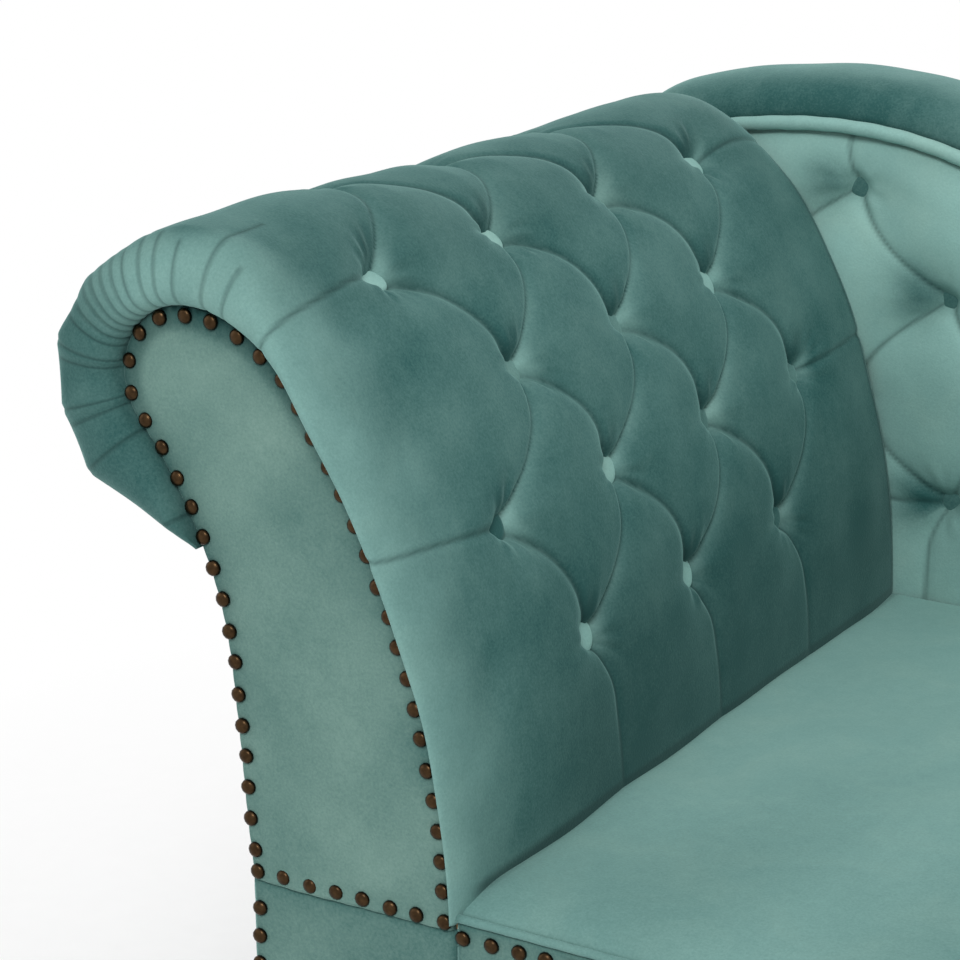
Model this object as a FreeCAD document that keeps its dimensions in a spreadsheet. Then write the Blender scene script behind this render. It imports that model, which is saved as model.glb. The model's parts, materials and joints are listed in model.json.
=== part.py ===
import FreeCAD, Part
import math
import os
import Sketcher
from FreeCAD import Placement, Rotation, Vector

# Chaise longue with one scrolled, deep-buttoned arm and a buttoned back that sweeps down towards the foot.
# The frame is +X to the foot, +Y to the back, +Z up, with the origin on the floor under the middle.
# Pieces are drawn from the seat corner, where the arm's front panel, the seat and the front border meet.
# There x is 0 at the arm's face, y is 0 at the front of the covers and z is 0 at the seat's edge.

doc = FreeCAD.newDocument("chaise_longue")
sheet = doc.addObject("Spreadsheet::Sheet", "sizes")

# Every driving dimension in millimetres, with what it measures
SIZES = [
    # Whole piece
    ("seat_length", 1315, "corner to the outside of the foot border"),
    ("inside_depth", 598, "front of the covers to the face of the back"),
    ("cover_thick", 5, "velvet with its wadding, over wood"),
    ("fit_gap", 0.3, "clearance of a soft piece from its neighbour"),
    ("overrun", 20, "how far every cutting tool runs past its work"),
    # Seat frame
    ("rail_height", 205, "height of the four seat rails"),
    ("rail_thick", 27, "thickness of front, head and foot rails"),
    ("rear_rail_thick", 24, "thickness of the rear rail and the crest board"),
    ("rail_drop", 5, "rail tops below the seat corner"),
    ("cross_height", 60, "height of the cross rails"),
    ("cross_lift", 8, "cross rails above the bottom of the seat rails"),
    ("batten_height", 22, "height of a webbing batten"),
    ("batten_width", 30, "width of the front, head and foot battens"),
    ("rear_batten_width", 52, "width of the batten notched round the posts"),
    ("batten_drop", 45, "batten tops below the rail tops"),
    ("block_side", 75, "short sides of a corner block"),
    ("block_height", 60, "height of a corner block"),
    ("dust_thick", 1, "thickness of the dust cover"),
    # Legs
    ("leg_length", 166, "turned wood of a leg"),
    ("leg_top_dia", 62, "leg at its collar"),
    ("leg_neck_dia", 38, "leg at its cove"),
    ("leg_belly_dia", 58, "leg at its vase"),
    ("leg_ankle_dia", 27, "leg at its ankle"),
    ("leg_toe_dia", 34, "leg at its toe"),
    ("leg_inset", 52, "leg centre from the outside of the covers"),
    ("plate_side", 44, "square steel plate on top of a leg"),
    ("plate_thick", 2.5, "thickness of that plate"),
    ("bolt_dia", 8, "hanger bolt"),
    ("plate_hole_dia", 10, "hole of a leg plate"),
    ("bolt_depth", 36, "hanger bolt into the leg, and into its block"),
    ("glide_dia", 24, "nail-on glide"),
    ("glide_height", 6, "height of the glide"),
    # Seat
    ("web_width", 50, "width of the webbing"),
    ("web_thick", 1.6, "thickness of the webbing"),
    ("web_pitch", 104, "spacing of the webbing"),
    ("seat_edge_rise", 7, "seat above the corner where it meets the arm and the back"),
    ("seat_crown", 26, "seat above the corner at its middle"),
    ("seat_edge_round", 42, "depth of the rounded seat edge"),
    ("seat_crown_run", 300, "how far from an edge the seat has its full crown"),
    ("seat_station", 110, "facets of the seat, longest"),
    ("welt_dia", 5.4, "piped seat welt"),
    ("welt_inset", 1.5, "centre of the welt behind the front of the covers"),
    ("welt_drop", 1, "centre of the welt below the corner"),
    ("border_drop", 4, "top of a border below the corner"),
    ("welt_turn", 5.5, "radius of the welt round a foot corner"),
    ("nail_dia", 9.5, "domed upholstery nail"),
    ("nail_height", 2.6, "height of its head"),
    ("nail_pitch", 17.4, "spacing of the nails"),
    ("seat_nail_drop", 12, "seat nail row below the corner"),
    ("panel_nail_drop", 5, "nail row across the foot of the arm panel below the corner"),
    # Arm outline, along the nails of the front panel
    ("arm_start", 7, "nail line from the corner at seat level"),
    ("arm_width", 131, "nail line outside the arm from the corner at seat level"),
    ("arm_sweep_radius", 531, "long inner curve of the arm"),
    ("arm_shoulder_radius", 86, "shoulder below the scroll"),
    ("arm_scroll_radius", 38, "scroll of the arm"),
    ("arm_neck_radius", 264, "hollow outside the arm below the scroll"),
    ("panel_margin", 5, "front panel past its nails"),
    ("panel_seam_drop", 10, "lower edge of the front panel below the corner"),
    ("board_inset", 9, "arm boards and foam inside the nail line"),
    ("board_outset", 2, "arm boards past the nail line on the outside"),
    ("arm_board_thick", 27, "front and rear arm boards"),
    ("arm_foam_thick", 7, "foam layer over the backing"),
    ("backing_thick", 3, "bent sheet that backs the foam"),
    ("top_rail_dia", 34, "round rail in the scroll"),
    ("outer_rail_height", 40, "rail in the hollow outside the arm"),
    ("outer_rail_thick", 20, "thickness of that rail"),
    ("lower_rail_height", 55, "rail at seat level inside the arm"),
    # Arm pad, along the crests of its tufts
    ("pad_face", 4, "pad past the corner at seat level"),
    ("pad_sweep_radius", 520, "long inner curve of the pad"),
    ("pad_sweep_rise", 10, "centre of that curve above the corner"),
    ("pad_roll_radius", 77, "top of the roll"),
    ("pad_roll_x", 165, "centre of the roll from the corner"),
    ("pad_hang_radius", 52, "stuffing that hangs outside the roll"),
    ("pad_reach", 274, "furthest point of the roll from the corner"),
    ("pad_hang_rise", 262, "centre of the hanging stuffing above the corner"),
    ("pad_bulge", 12, "pad in front of the panel"),
    ("pad_rim", 34, "depth of the pad's rounded front rim"),
    ("pad_rim_drop", 13, "rim below the crests"),
    ("pad_end_gap", 4.5, "end of the pad from the inside depth"),
    ("row_first", 110, "lowest row of buttons above the pad's foot, along the pad"),
    ("row_pitch", 86, "rows of buttons apart, along the pad"),
    ("column_first", 118, "first column of buttons from the front"),
    ("column_step", 63, "columns of buttons apart, each second one in a row"),
    ("tuft_depth", 17, "buttons below the crests"),
    ("top_fold_depth", 8, "folds below the crests over the roll"),
    ("pleat_depth", 5, "pleats below the crests"),
    ("button_dia", 20, "covered button"),
    ("button_height", 5, "height of a button"),
    ("button_lift", 8, "back of a button above the deepest point of its tuft, before it is drawn in"),
    # Back
    ("crest_height", 336, "highest point of the piping above the corner"),
    ("crest_x", 60, "that point from the corner, over the arm"),
    ("crest_head_radius", 444, "crest towards the head"),
    ("crest_scroll_radius", 50, "crest round the arm's scroll"),
    ("crest_brow_radius", 320, "crest where it starts to fall"),
    ("crest_sweep_radius", 1900, "long hollow of the crest"),
    ("crest_end_radius", 85, "crest where it turns down to the seat"),
    ("back_pad_thick", 26, "crests of the back's tufts from its foam"),
    ("back_pad_proud", 4, "crests of the tufts in front of the inside depth"),
    ("back_foam_thick", 14, "foam behind the tufts"),
    ("back_sheet_thick", 4, "sheet behind that foam"),
    ("post_depth", 34, "depth of a back post"),
    ("post_width", 42, "width of a back post"),
    ("crest_board_height", 70, "height of the crest board"),
    ("crest_roll_height", 33, "roll above the piping"),
    ("sweep_sag", 0.25, "how far the facets of a swept piece leave its curve"),
    ("crest_gap", 12, "posts below the piping"),
    ("piping_dia", 10, "piping under the roll"),
    ("piping_inset", 2, "middle of the piping behind the inside depth"),
    ("arm_nail_pitch", 17.8, "spacing of the nails round the arm panel"),
    ("back_edge_round", 18, "how far the pad is drawn in at the piping"),
    ("back_row_first", 73, "lowest row of back buttons above the corner"),
    ("back_row_pitch", 72, "rows of back buttons apart"),
    ("back_column_step", 73, "columns of back buttons apart, each second one in a row"),
    ("back_column_first", 45, "first column of back buttons from the corner, over the arm"),
    ("back_tuft_depth", 15, "back buttons below the crests"),
]

# Turns of the outlines in degrees, and shares chosen by hand
ARM_HEADING = 92.0
ARM_TURNS = (32.6, 56.6, 128.4, -17.0)
ARM_LAST_TURN = -18.7
CREST_TURNS = (86.0, 24.0, 28.0, 16.0, 112.0)
CROSS_RAIL_SHARES = (0.36, 0.7)
POST_SHARES = (0.0, 0.47, 0.93)
LEG_HEIGHT_SHARES = (0.0, 0.05, 0.13, 0.3, 0.62, 0.74, 0.79, 0.84, 0.92, 1.0)
LEG_DIAMETERS = ("leg_toe_dia", "leg_toe_dia", "leg_ankle_dia", "leg_neck_dia", "leg_belly_dia",
                 "leg_neck_dia", "leg_belly_dia", "leg_neck_dia", "leg_top_dia", "leg_top_dia")
ROLL_WIDTH_SHARES = (0.0, 0.06, 0.26, 0.52, 0.78, 0.95, 1.0)
ROLL_HEIGHT_SHARES = (0.0, 0.55, 0.86, 1.0, 0.84, 0.48, 0.0)
SEAT_EDGE_SHARES = (0.0, 0.3, 1.0)
SEAT_REAR_SHARES = (0.0, 0.25, 0.6, 0.87, 1.0)
PIPE_SIDES = 8
STUD_SIDES = 6
NAIL_CROWN_SHARE = 0.55
FRONT_BULGE_SHARE = 0.5
CREASE_WIDTH_SHARE = 0.34
DIMPLE_WIDTH_SHARE = 0.5
CREASE_DEPTH_SHARE = 0.42
MIN_PAD_SHARE = 0.25
PLEAT_SHARE = 0.35
BACK_RIM_SHARE = 0.3
BACK_COLUMN_FACETS = 4
BACK_HEIGHT_FACETS = 16
GLIDE_FOOT_SHARE = 0.8
LEG_SIDES = 16
PLATE_HOLE_SIDES = 8
RIM_ANGLES = (0, 30, 60, 90)
ROW_FACETS = 4
COLUMN_FACETS = 4
ARM_ROW_COUNT = 4
ARM_COLUMN_COUNT = 7
BACK_ROW_COUNT = 4
BACK_COLUMN_COUNT = 14
BUTTON_CROWN_SHARE = 0.6
SETTLE_PASSES = 3

for row, (alias, value, note) in enumerate(SIZES, start=1):
    sheet.set(f"A{row}", note)
    sheet.set(f"B{row}", str(value))
    sheet.setAlias(f"B{row}", alias)
doc.recompute()
mm = {alias: float(sheet.get(alias)) for alias, value, note in SIZES}

# Levels and depths that several pieces share, as expressions for bound objects and as numbers
CORNER_X = "(sizes.pad_reach - sizes.seat_length - sizes.nail_height) / 2"
BACK_LAYERS = ("sizes.back_pad_thick - sizes.back_pad_proud + sizes.back_foam_thick"
               " + sizes.back_sheet_thick + 2 * sizes.fit_gap")
POST_FRONT = f"(sizes.inside_depth + {BACK_LAYERS})"
REAR_RAIL_FRONT = f"({POST_FRONT} + sizes.post_depth)"
COVER_REAR = f"({REAR_RAIL_FRONT} + sizes.rear_rail_thick + sizes.cover_thick)"
CORNER_Y = f"(sizes.pad_bulge - {COVER_REAR}) / 2"
RAIL_BOTTOM = "(-sizes.rail_drop - sizes.rail_height)"
CORNER_Z = ("(sizes.rail_drop + sizes.rail_height + sizes.plate_thick + sizes.leg_length"
            " + sizes.glide_height)")
FRONT_INNER = "(sizes.cover_thick + sizes.rail_thick)"
FOOT_INNER = "(sizes.seat_length - sizes.cover_thick - sizes.rail_thick)"
HEAD_OUTER = "(-sizes.arm_width - sizes.board_outset)"
HEAD_INNER = "(sizes.rail_thick - sizes.arm_width - sizes.board_outset)"
SEAT_HEAD = "(-sizes.arm_start)"
BATTEN_TOP = "(-sizes.rail_drop - sizes.batten_drop)"

post_front = (mm["inside_depth"] + mm["back_pad_thick"] - mm["back_pad_proud"] + mm["back_foam_thick"]
              + mm["back_sheet_thick"] + 2 * mm["fit_gap"])
rear_rail_front = post_front + mm["post_depth"]
cover_front = rear_rail_front + mm["rear_rail_thick"]
cover_rear = cover_front + mm["cover_thick"]
rail_top = -mm["rail_drop"]
rail_bottom = rail_top - mm["rail_height"]
front_inner = mm["cover_thick"] + mm["rail_thick"]
foot_inner = mm["seat_length"] - mm["cover_thick"] - mm["rail_thick"]
head_outer = -mm["arm_width"] - mm["board_outset"]
head_inner = head_outer + mm["rail_thick"]
batten_top = rail_top - mm["batten_drop"]
corner = Vector((mm["pad_reach"] - mm["seat_length"] - mm["nail_height"]) / 2,
                (mm["pad_bulge"] - cover_rear) / 2,
                mm["rail_drop"] + mm["rail_height"] + mm["plate_thick"] + mm["leg_length"]
                + mm["glide_height"])

pieces = []


# Building helpers

def place(piece, x="0", y="0", z="0"):
    """Bind a piece's position to the sheet, measured from the seat corner."""
    piece.setExpression(".Placement.Base.x", f"{CORNER_X} + {x}")
    piece.setExpression(".Placement.Base.y", f"{CORNER_Y} + {y}")
    piece.setExpression(".Placement.Base.z", f"{CORNER_Z} + {z}")


def shaped(name, shape):
    """A piece whose shape is made here, in the corner's coordinates."""
    piece = doc.addObject("Part::Feature", name)
    piece.Label = name
    piece.Shape = shape
    piece.Placement = Placement(corner, Rotation())
    pieces.append(piece)
    return piece


def body(name):
    piece = doc.addObject("PartDesign::Body", name)
    piece.Label = name
    pieces.append(piece)
    return piece


def sketch_on(owner, role, name):
    plane = [item for item in owner.Origin.OriginFeatures if item.Role == role][0]
    sketch = owner.newObject("Sketcher::SketchObject", name)
    sketch.AttachmentSupport = [(plane, "")]
    sketch.MapMode = "FlatFace"
    return sketch


def outline(sketch, points):
    """Close a polygon through points, each held by two expressions and drawn at its numbers."""
    corners = [Vector(u, v, 0) for u, v, u_text, v_text in points]
    count = len(corners)
    for index in range(count):
        sketch.addGeometry(Part.LineSegment(corners[index], corners[(index + 1) % count]), False)
    for index in range(count):
        sketch.addConstraint(Sketcher.Constraint("Coincident", index, 2, (index + 1) % count, 1))
    for index, (u, v, u_text, v_text) in enumerate(points):
        for kind, number, text in (("DistanceX", u, u_text), ("DistanceY", v, v_text)):
            if text == "0":
                axis = -2 if kind == "DistanceX" else -1
                sketch.addConstraint(Sketcher.Constraint("PointOnObject", index, 1, axis))
                continue
            rule = sketch.addConstraint(Sketcher.Constraint(kind, -1, 1, index, 1, number))
            sketch.setExpression(f"Constraints[{rule}]", text)


def plank(name, size_x, size_y, size_z, x, y, z):
    """A straight board or strip: length, depth and height, then the place of its low corner."""
    piece = doc.addObject("Part::Box", name)
    piece.Label = name
    for prop, text in (("Length", size_x), ("Width", size_y), ("Height", size_z)):
        piece.setExpression(prop, text)
    place(piece, x, y, z)
    pieces.append(piece)
    return piece


def box_at(low, high):
    return Part.makeBox(high.x - low.x, high.y - low.y, high.z - low.z, low)


def chain(start, heading, steps):
    """Edges in the XZ plane: each step is (length, 0) for a line or (radius, turn) for an arc.

    A turn is in degrees, positive to the left. Returns the edges, the end point and the end heading.
    """
    edges = []
    point = start
    for size, turn in steps:
        angle = math.radians(heading)
        ahead = Vector(math.cos(angle), 0, math.sin(angle))
        if turn == 0:
            target = point + ahead * size
            edges.append(Part.LineSegment(point, target).toShape())
        else:
            side = math.copysign(1, turn)
            centre = point + Vector(-ahead.z, 0, ahead.x) * size * side
            middle = swing(point, centre, turn / 2)
            target = swing(point, centre, turn)
            edges.append(Part.Arc(point, middle, target).toShape())
        point = target
        heading += turn
    return edges, point, heading


def swing(point, centre, degrees):
    """Turn a point about a centre in the XZ plane, anticlockwise with x right and z up."""
    angle = math.radians(degrees)
    arm = point - centre
    return centre + Vector(arm.x * math.cos(angle) - arm.z * math.sin(angle), 0,
                           arm.x * math.sin(angle) + arm.z * math.cos(angle))


def line(first, second):
    return Part.LineSegment(first, second).toShape()


def closed_face(edges):
    return Part.Face(Part.Wire(Part.__sortEdges__(edges)))


def extruded(edges, y_front, y_back):
    """A plate between two depths whose outline is a closed run of edges."""
    face = closed_face(edges)
    face.translate(Vector(0, y_front, 0))
    return face.extrude(Vector(0, y_back - y_front, 0))


def above(shape, level):
    """What of a shape lies over a level."""
    room = shape.BoundBox
    return shape.cut(box_at(Vector(room.XMin - mm["overrun"], room.YMin - mm["overrun"],
                                   room.ZMin - mm["overrun"]),
                            Vector(room.XMax + mm["overrun"], room.YMax + mm["overrun"], level)))


def end_of(edge, which):
    return edge.valueAt(edge.LastParameter if which else edge.FirstParameter)


# Outlines of the arm and of the back, in the XZ plane

def arm_scroll(offset):
    """Inner side, scroll and upper hollow of the arm, grown out from the nails, its end and heading."""
    heading = math.radians(ARM_HEADING)
    outwards = Vector(math.sin(heading), 0, -math.cos(heading))
    start = Vector(-mm["arm_start"], 0, rail_top) + outwards * offset
    radii = ("arm_sweep_radius", "arm_shoulder_radius", "arm_scroll_radius", "arm_neck_radius")
    steps = [(mm[name] + (offset if turn > 0 else -offset), turn) for name, turn in zip(radii, ARM_TURNS)]
    return chain(start, ARM_HEADING, steps)


def arm_outside(offset):
    """Lower hollow and straight outside of the arm, down to the seam of the front panel, and its foot."""
    edges, point, heading = arm_scroll(offset)
    hollow, point, heading = chain(point, heading, [(mm["arm_neck_radius"] - offset, ARM_LAST_TURN)])
    foot = Vector(-mm["arm_width"] - offset, 0, -mm["panel_seam_drop"])
    return hollow + [line(point, foot)], foot


def crest_line(offset):
    """Piping line of the back from its low foot end to the hollow outside the scroll, grown by an offset."""
    brow = Vector(-mm["crest_x"], 0, mm["crest_height"] + offset)
    head_steps = [(mm["crest_head_radius"] + offset, CREST_TURNS[3]),
                  (mm["crest_scroll_radius"] + offset, CREST_TURNS[4])]
    head, head_end, _ = chain(brow, 180, head_steps)
    foot_steps = [(mm["crest_brow_radius"] + offset, -CREST_TURNS[2]),
                  (mm["crest_sweep_radius"] - offset, CREST_TURNS[1]),
                  (mm["crest_end_radius"] + offset, -CREST_TURNS[0])]
    foot, foot_end, _ = chain(brow, 0, foot_steps)
    return foot, head, foot_end, head_end


def roll_profile():
    """Crests of the arm pad's tufts, from its foot at the seat over the roll to the hollow outside."""
    sweep = mm["pad_sweep_radius"]
    top = mm["pad_roll_radius"]
    hang = mm["pad_hang_radius"]
    sweep_centre = Vector(mm["pad_face"] - sweep, 0, mm["pad_sweep_rise"])
    across = -mm["pad_roll_x"] - sweep_centre.x
    roll_centre = Vector(-mm["pad_roll_x"], 0,
                         sweep_centre.z + math.sqrt((sweep - top) ** 2 - across ** 2))
    hang_centre = Vector(hang - mm["pad_reach"], 0, mm["pad_hang_rise"])
    neck = arm_scroll(0)[1]
    first = bearing(sweep_centre, roll_centre)
    second = bearing(roll_centre, hang_centre) - math.degrees(
        math.acos((top - hang) / (hang_centre - roll_centre).Length))
    third = bearing(hang_centre, neck) - math.degrees(math.acos(hang / (neck - hang_centre).Length))
    foot = Vector(mm["pad_face"], 0, rail_top + mm["fit_gap"])
    slope = math.sqrt((hang_centre - roll_centre).Length ** 2 - (top - hang) ** 2)
    under = math.sqrt((neck - hang_centre).Length ** 2 - hang ** 2)
    steps = [(mm["pad_sweep_rise"] - foot.z, 0), (sweep, first), (top, second - first), (slope, 0),
             (hang, third - second), (under, 0)]
    return chain(foot, 90, steps)[0]


def bearing(first, second):
    """Direction from one point to another in the XZ plane, in degrees from 0 to 360."""
    return math.degrees(math.atan2(second.z - first.z, second.x - first.x)) % 360


def along(edges, distance):
    """Point at a distance along a run of edges."""
    for edge in edges:
        if distance <= edge.Length:
            return edge.valueAt(edge.getParameterByLength(distance))
        distance -= edge.Length
    return end_of(edges[-1], True)


# Tufted pads: a skin of flat facets over a lattice of pillows between sewn buttons

def pillow(column, row):
    """Height of the tufts from 0 at a button to 1 at a crest, where a button sits at every even sum."""
    rising, falling = (column + row) / 2, (column - row) / 2
    first, second = abs(rising - round(rising)), abs(falling - round(falling))
    crease = math.sin(math.pi / 2 * min(1, min(first, second) / CREASE_WIDTH_SHARE))
    dimple = math.sin(math.pi / 2 * min(1, math.hypot(first, second) / DIMPLE_WIDTH_SHARE))
    return CREASE_DEPTH_SHARE * crease + (1 - CREASE_DEPTH_SHARE) * dimple


def pleat(column):
    """Height across pleats that run straight out from the buttons on odd columns."""
    away = abs((column - 1) / 2 - round((column - 1) / 2))
    return math.sin(math.pi / 2 * min(1, 2 * away))


def facet(*points):
    return Part.Face(Part.makePolygon(list(points) + [points[0]]))


def bent(outwards, first, second, third, fourth):
    """Two triangles over four points, folded along the diagonal that lies deeper in the pad."""
    if (first + third - second - fourth).dot(outwards) > 0:
        return [facet(first, second, fourth), facet(second, third, fourth)]
    return [facet(first, second, third), facet(first, third, fourth)]


def skin(grid, outwards):
    """Facets over a grid of points, given the outward direction at each row of the grid."""
    faces = []
    for outward, row, following in zip(outwards, grid, grid[1:]):
        for index in range(len(row) - 1):
            faces += bent(outward, row[index], row[index + 1], following[index + 1], following[index])
    return faces


def solid_of(faces):
    solid = Part.Solid(Part.Shell(faces))
    if solid.Volume < 0:
        solid.reverse()
    return solid


ROLL = roll_profile()
ROLL_BASE = Part.Wire(arm_scroll(3 * mm["fit_gap"] - mm["board_inset"])[0])


def arm_station(distance):
    """Base point, outward normal, thickness and distance of a station along the arm pad."""
    crest = along(ROLL, distance)
    root = ROLL_BASE.distToShape(Part.Vertex(crest))[1][0][0]
    if distance == 0:
        root = Vector(root.x, 0, crest.z)
    normal = crest - root
    thick = normal.Length
    return root, normal.normalize(), thick, distance


def arm_stations():
    total = sum(edge.Length for edge in ROLL)
    step = mm["row_pitch"] / ROW_FACETS
    first = mm["row_first"] % step
    count = int((total - first) / step)
    distances = [0] + [first + step * index for index in range(1, count)] + [total]
    return [arm_station(distance) for distance in distances]


def arm_pad_shape():
    front = mm["cover_thick"] + mm["fit_gap"]
    rear = mm["inside_depth"] - mm["pad_end_gap"]
    step = mm["column_step"] / COLUMN_FACETS
    first = mm["column_first"] % step
    depths = [first + step * index for index in range(int((rear - first) / step) + 1)]
    depths = [depth for depth in depths if mm["pad_rim"] < depth < rear - step / 2]
    stations = arm_stations()
    total = stations[-1][3]
    top_row = mm["row_first"] + ARM_ROW_COUNT * mm["row_pitch"]
    grid = []
    for root, normal, thick, distance in stations:
        share = min(1, thick / (2 * mm["pad_rim_drop"]))
        low_rim = thick - mm["pad_rim_drop"] * share
        nose = thick * FRONT_BULGE_SHARE
        line_here = []
        for angle in RIM_ANGLES:
            turn = math.radians(angle)
            reach = (mm["pad_rim"] + mm["pad_bulge"]) * share
            line_here.append((mm["pad_rim"] * share - reach * math.cos(turn),
                              nose + (low_rim - nose) * math.sin(turn)))
        row = (distance - mm["row_first"]) / mm["row_pitch"]
        for depth in depths:
            column = (depth - mm["column_first"]) / mm["column_step"]
            if distance <= mm["row_first"]:
                fall = mm["pleat_depth"] * (1 - pleat(column))
                below_pleats = (mm["tuft_depth"] - mm["pleat_depth"]) * (1 - pillow(column, row + 1))
                fall += below_pleats * max(0, 1 + 2 * row)
            elif distance < top_row - mm["row_pitch"] / 2:
                fall = mm["tuft_depth"] * (1 - pillow(column, row + 1))
            else:
                fall = mm["top_fold_depth"] * (1 - pleat(column))
            inside = min(1, max(0, depth - mm["pad_rim"]) / (mm["column_first"] - mm["pad_rim"]),
                         (rear - depth) / mm["pad_rim"])
            rim_fall = mm["pad_rim_drop"] * share * (1 - math.sin(math.pi / 2 * inside))
            least = thick * (1 - share) + MIN_PAD_SHARE * thick
            line_here.append((depth, max(thick - fall * share - rim_fall, least)))
        line_here.append((rear, low_rim))
        grid.append([root + Vector(0, depth, 0) + normal * height for depth, height in line_here])
    normals = [normal for root, normal, thick, distance in stations]
    faces = skin(grid, normals)
    fronts = [root + Vector(0, front, 0) for root, normal, thick, distance in stations]
    rears = [root + Vector(0, rear, 0) for root, normal, thick, distance in stations]
    ahead, behind = Vector(0, -1, 0), Vector(0, 1, 0)
    for index in range(len(stations) - 1):
        faces += bent(ahead, fronts[index], grid[index][0], grid[index + 1][0], fronts[index + 1])
        faces += bent(behind, rears[index], rears[index + 1], grid[index + 1][-1], grid[index][-1])
        faces.append(facet(fronts[index], rears[index], rears[index + 1], fronts[index + 1]))
    for index in (0, -1):
        faces.append(facet(fronts[index], *grid[index], rears[index]))
    return solid_of(faces)


def back_top(x):
    """Height of the piping line over a place along the back."""
    if x < -mm["crest_x"]:
        radius = mm["crest_head_radius"]
        return mm["crest_height"] - radius + math.sqrt(radius ** 2 - (x + mm["crest_x"]) ** 2)
    radius = mm["crest_brow_radius"]
    across = x + mm["crest_x"]
    turn = math.radians(CREST_TURNS[2])
    if across < radius * math.sin(turn):
        return mm["crest_height"] - radius + math.sqrt(radius ** 2 - across ** 2)
    sweep = mm["crest_sweep_radius"]
    centre_x = (radius + sweep) * math.sin(turn)
    centre_z = mm["crest_height"] - radius + (radius + sweep) * math.cos(turn)
    end_turn = math.radians(CREST_TURNS[2] - CREST_TURNS[1])
    if across < centre_x - sweep * math.sin(end_turn):
        return centre_z - math.sqrt(sweep ** 2 - (centre_x - across) ** 2)
    end = mm["crest_end_radius"]
    end_x = centre_x - (sweep + end) * math.sin(end_turn)
    end_z = centre_z - (sweep + end) * math.cos(end_turn)
    return end_z + math.sqrt(max(0, end ** 2 - (across - end_x) ** 2))


def back_pad_shape():
    base = mm["inside_depth"] + mm["back_pad_thick"] - mm["back_pad_proud"]
    foot_end = crest_line(-mm["fit_gap"] - mm["piping_dia"] / 2)[2].x
    low = rail_top + mm["fit_gap"]
    step = mm["back_column_step"] / BACK_COLUMN_FACETS
    start = -mm["back_column_first"] - mm["back_column_step"]
    places = [start + step * index for index in range(int((foot_end - start) / step) + 1)]
    places = [x for x in places if back_top(x) - mm["piping_dia"] > 3 * mm["back_edge_round"]]
    grid = []
    for x in places:
        slope = back_top(x + mm["fit_gap"]) - back_top(x - mm["fit_gap"])
        steepness = math.hypot(1, slope / (2 * mm["fit_gap"]))
        top = back_top(x) - (mm["piping_dia"] / 2 + mm["fit_gap"]) * steepness
        count = BACK_HEIGHT_FACETS
        line_here = []
        for index in range(count + 1):
            z = low + (top - low) * index / count
            column = (x + mm["back_column_first"]) / mm["back_column_step"]
            row = (z - mm["back_row_first"]) / mm["back_row_pitch"]
            if row < 0:
                tuft = 1 - (1 - pleat(column)) * PLEAT_SHARE
                tuft = min(tuft, 1 - (1 - pillow(column, row + 1)) * max(0, 1 + 2 * row))
            else:
                tuft = pillow(column, row + 1)
            rim = min(1, (top - z) / mm["back_edge_round"] / 2, (x - places[0]) / mm["back_edge_round"] / 2,
                      (places[-1] - x) / mm["back_edge_round"] / 2)
            height = mm["back_pad_thick"] - mm["back_tuft_depth"] * (1 - tuft)
            height *= BACK_RIM_SHARE + (1 - BACK_RIM_SHARE) * math.sin(math.pi / 2 * rim)
            line_here.append(Vector(x, base - height, z))
        grid.append(line_here)
    faces = skin(grid, [Vector(0, -1, 0)] * len(grid))
    tops = [Vector(row[-1].x, base, row[-1].z) for row in grid]
    for index in range(len(grid) - 1):
        faces += bent(Vector(0, 0, 1), grid[index][-1], grid[index + 1][-1], tops[index + 1], tops[index])
    feet = [Vector(row[0].x, base, row[0].z) for row in (grid[0], grid[-1])]
    faces.append(facet(feet[0], *grid[0], tops[0]))
    faces.append(facet(feet[1], *grid[-1], tops[-1]))
    faces.append(facet(feet[0], *[row[0] for row in grid], feet[1]))
    faces.append(facet(feet[0], *tops, feet[1]))
    return solid_of(faces)


# Seat frame

def rail(name, length, depth, height, x, y, z):
    """A straight rail: a rectangle sketched across its run, padded along it."""
    owner = body(name)
    sketch = sketch_on(owner, "XY_Plane", name + "_plan")
    (run_text, run), (deep_text, deep) = length, depth
    outline(sketch, [(0, 0, "0", "0"), (run, 0, run_text, "0"), (run, deep, run_text, deep_text),
                     (0, deep, "0", deep_text)])
    pad = owner.newObject("PartDesign::Pad", name + "_pad")
    pad.Profile = sketch
    pad.setExpression("Length", height)
    sketch.Visibility = False
    place(owner, x, y, z)
    return owner


inner_depth = rear_rail_front - front_inner
INNER_SPAN = f"({FOOT_INNER} - {HEAD_INNER})"
INNER_DEPTH = f"({REAR_RAIL_FRONT} - {FRONT_INNER})"
FRONT_SPAN = f"(sizes.seat_length - sizes.cover_thick - {SEAT_HEAD})"
REAR_SPAN = f"(sizes.seat_length - sizes.cover_thick - {HEAD_OUTER})"
front_span = mm["seat_length"] - mm["cover_thick"] + mm["arm_start"]
rear_span = mm["seat_length"] - mm["cover_thick"] - head_outer
rail("front_rail", (FRONT_SPAN, front_span), ("sizes.rail_thick", mm["rail_thick"]), "sizes.rail_height",
     SEAT_HEAD, "sizes.cover_thick", RAIL_BOTTOM)
rail("rear_rail", (REAR_SPAN, rear_span), ("sizes.rear_rail_thick", mm["rear_rail_thick"]),
     "sizes.rail_height", HEAD_OUTER, REAR_RAIL_FRONT, RAIL_BOTTOM)
rail("head_rail", ("sizes.rail_thick", mm["rail_thick"]), (INNER_DEPTH, inner_depth), "sizes.rail_height",
     HEAD_OUTER, FRONT_INNER, RAIL_BOTTOM)
rail("foot_rail", ("sizes.rail_thick", mm["rail_thick"]), (INNER_DEPTH, inner_depth), "sizes.rail_height",
     FOOT_INNER, FRONT_INNER, RAIL_BOTTOM)
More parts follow.
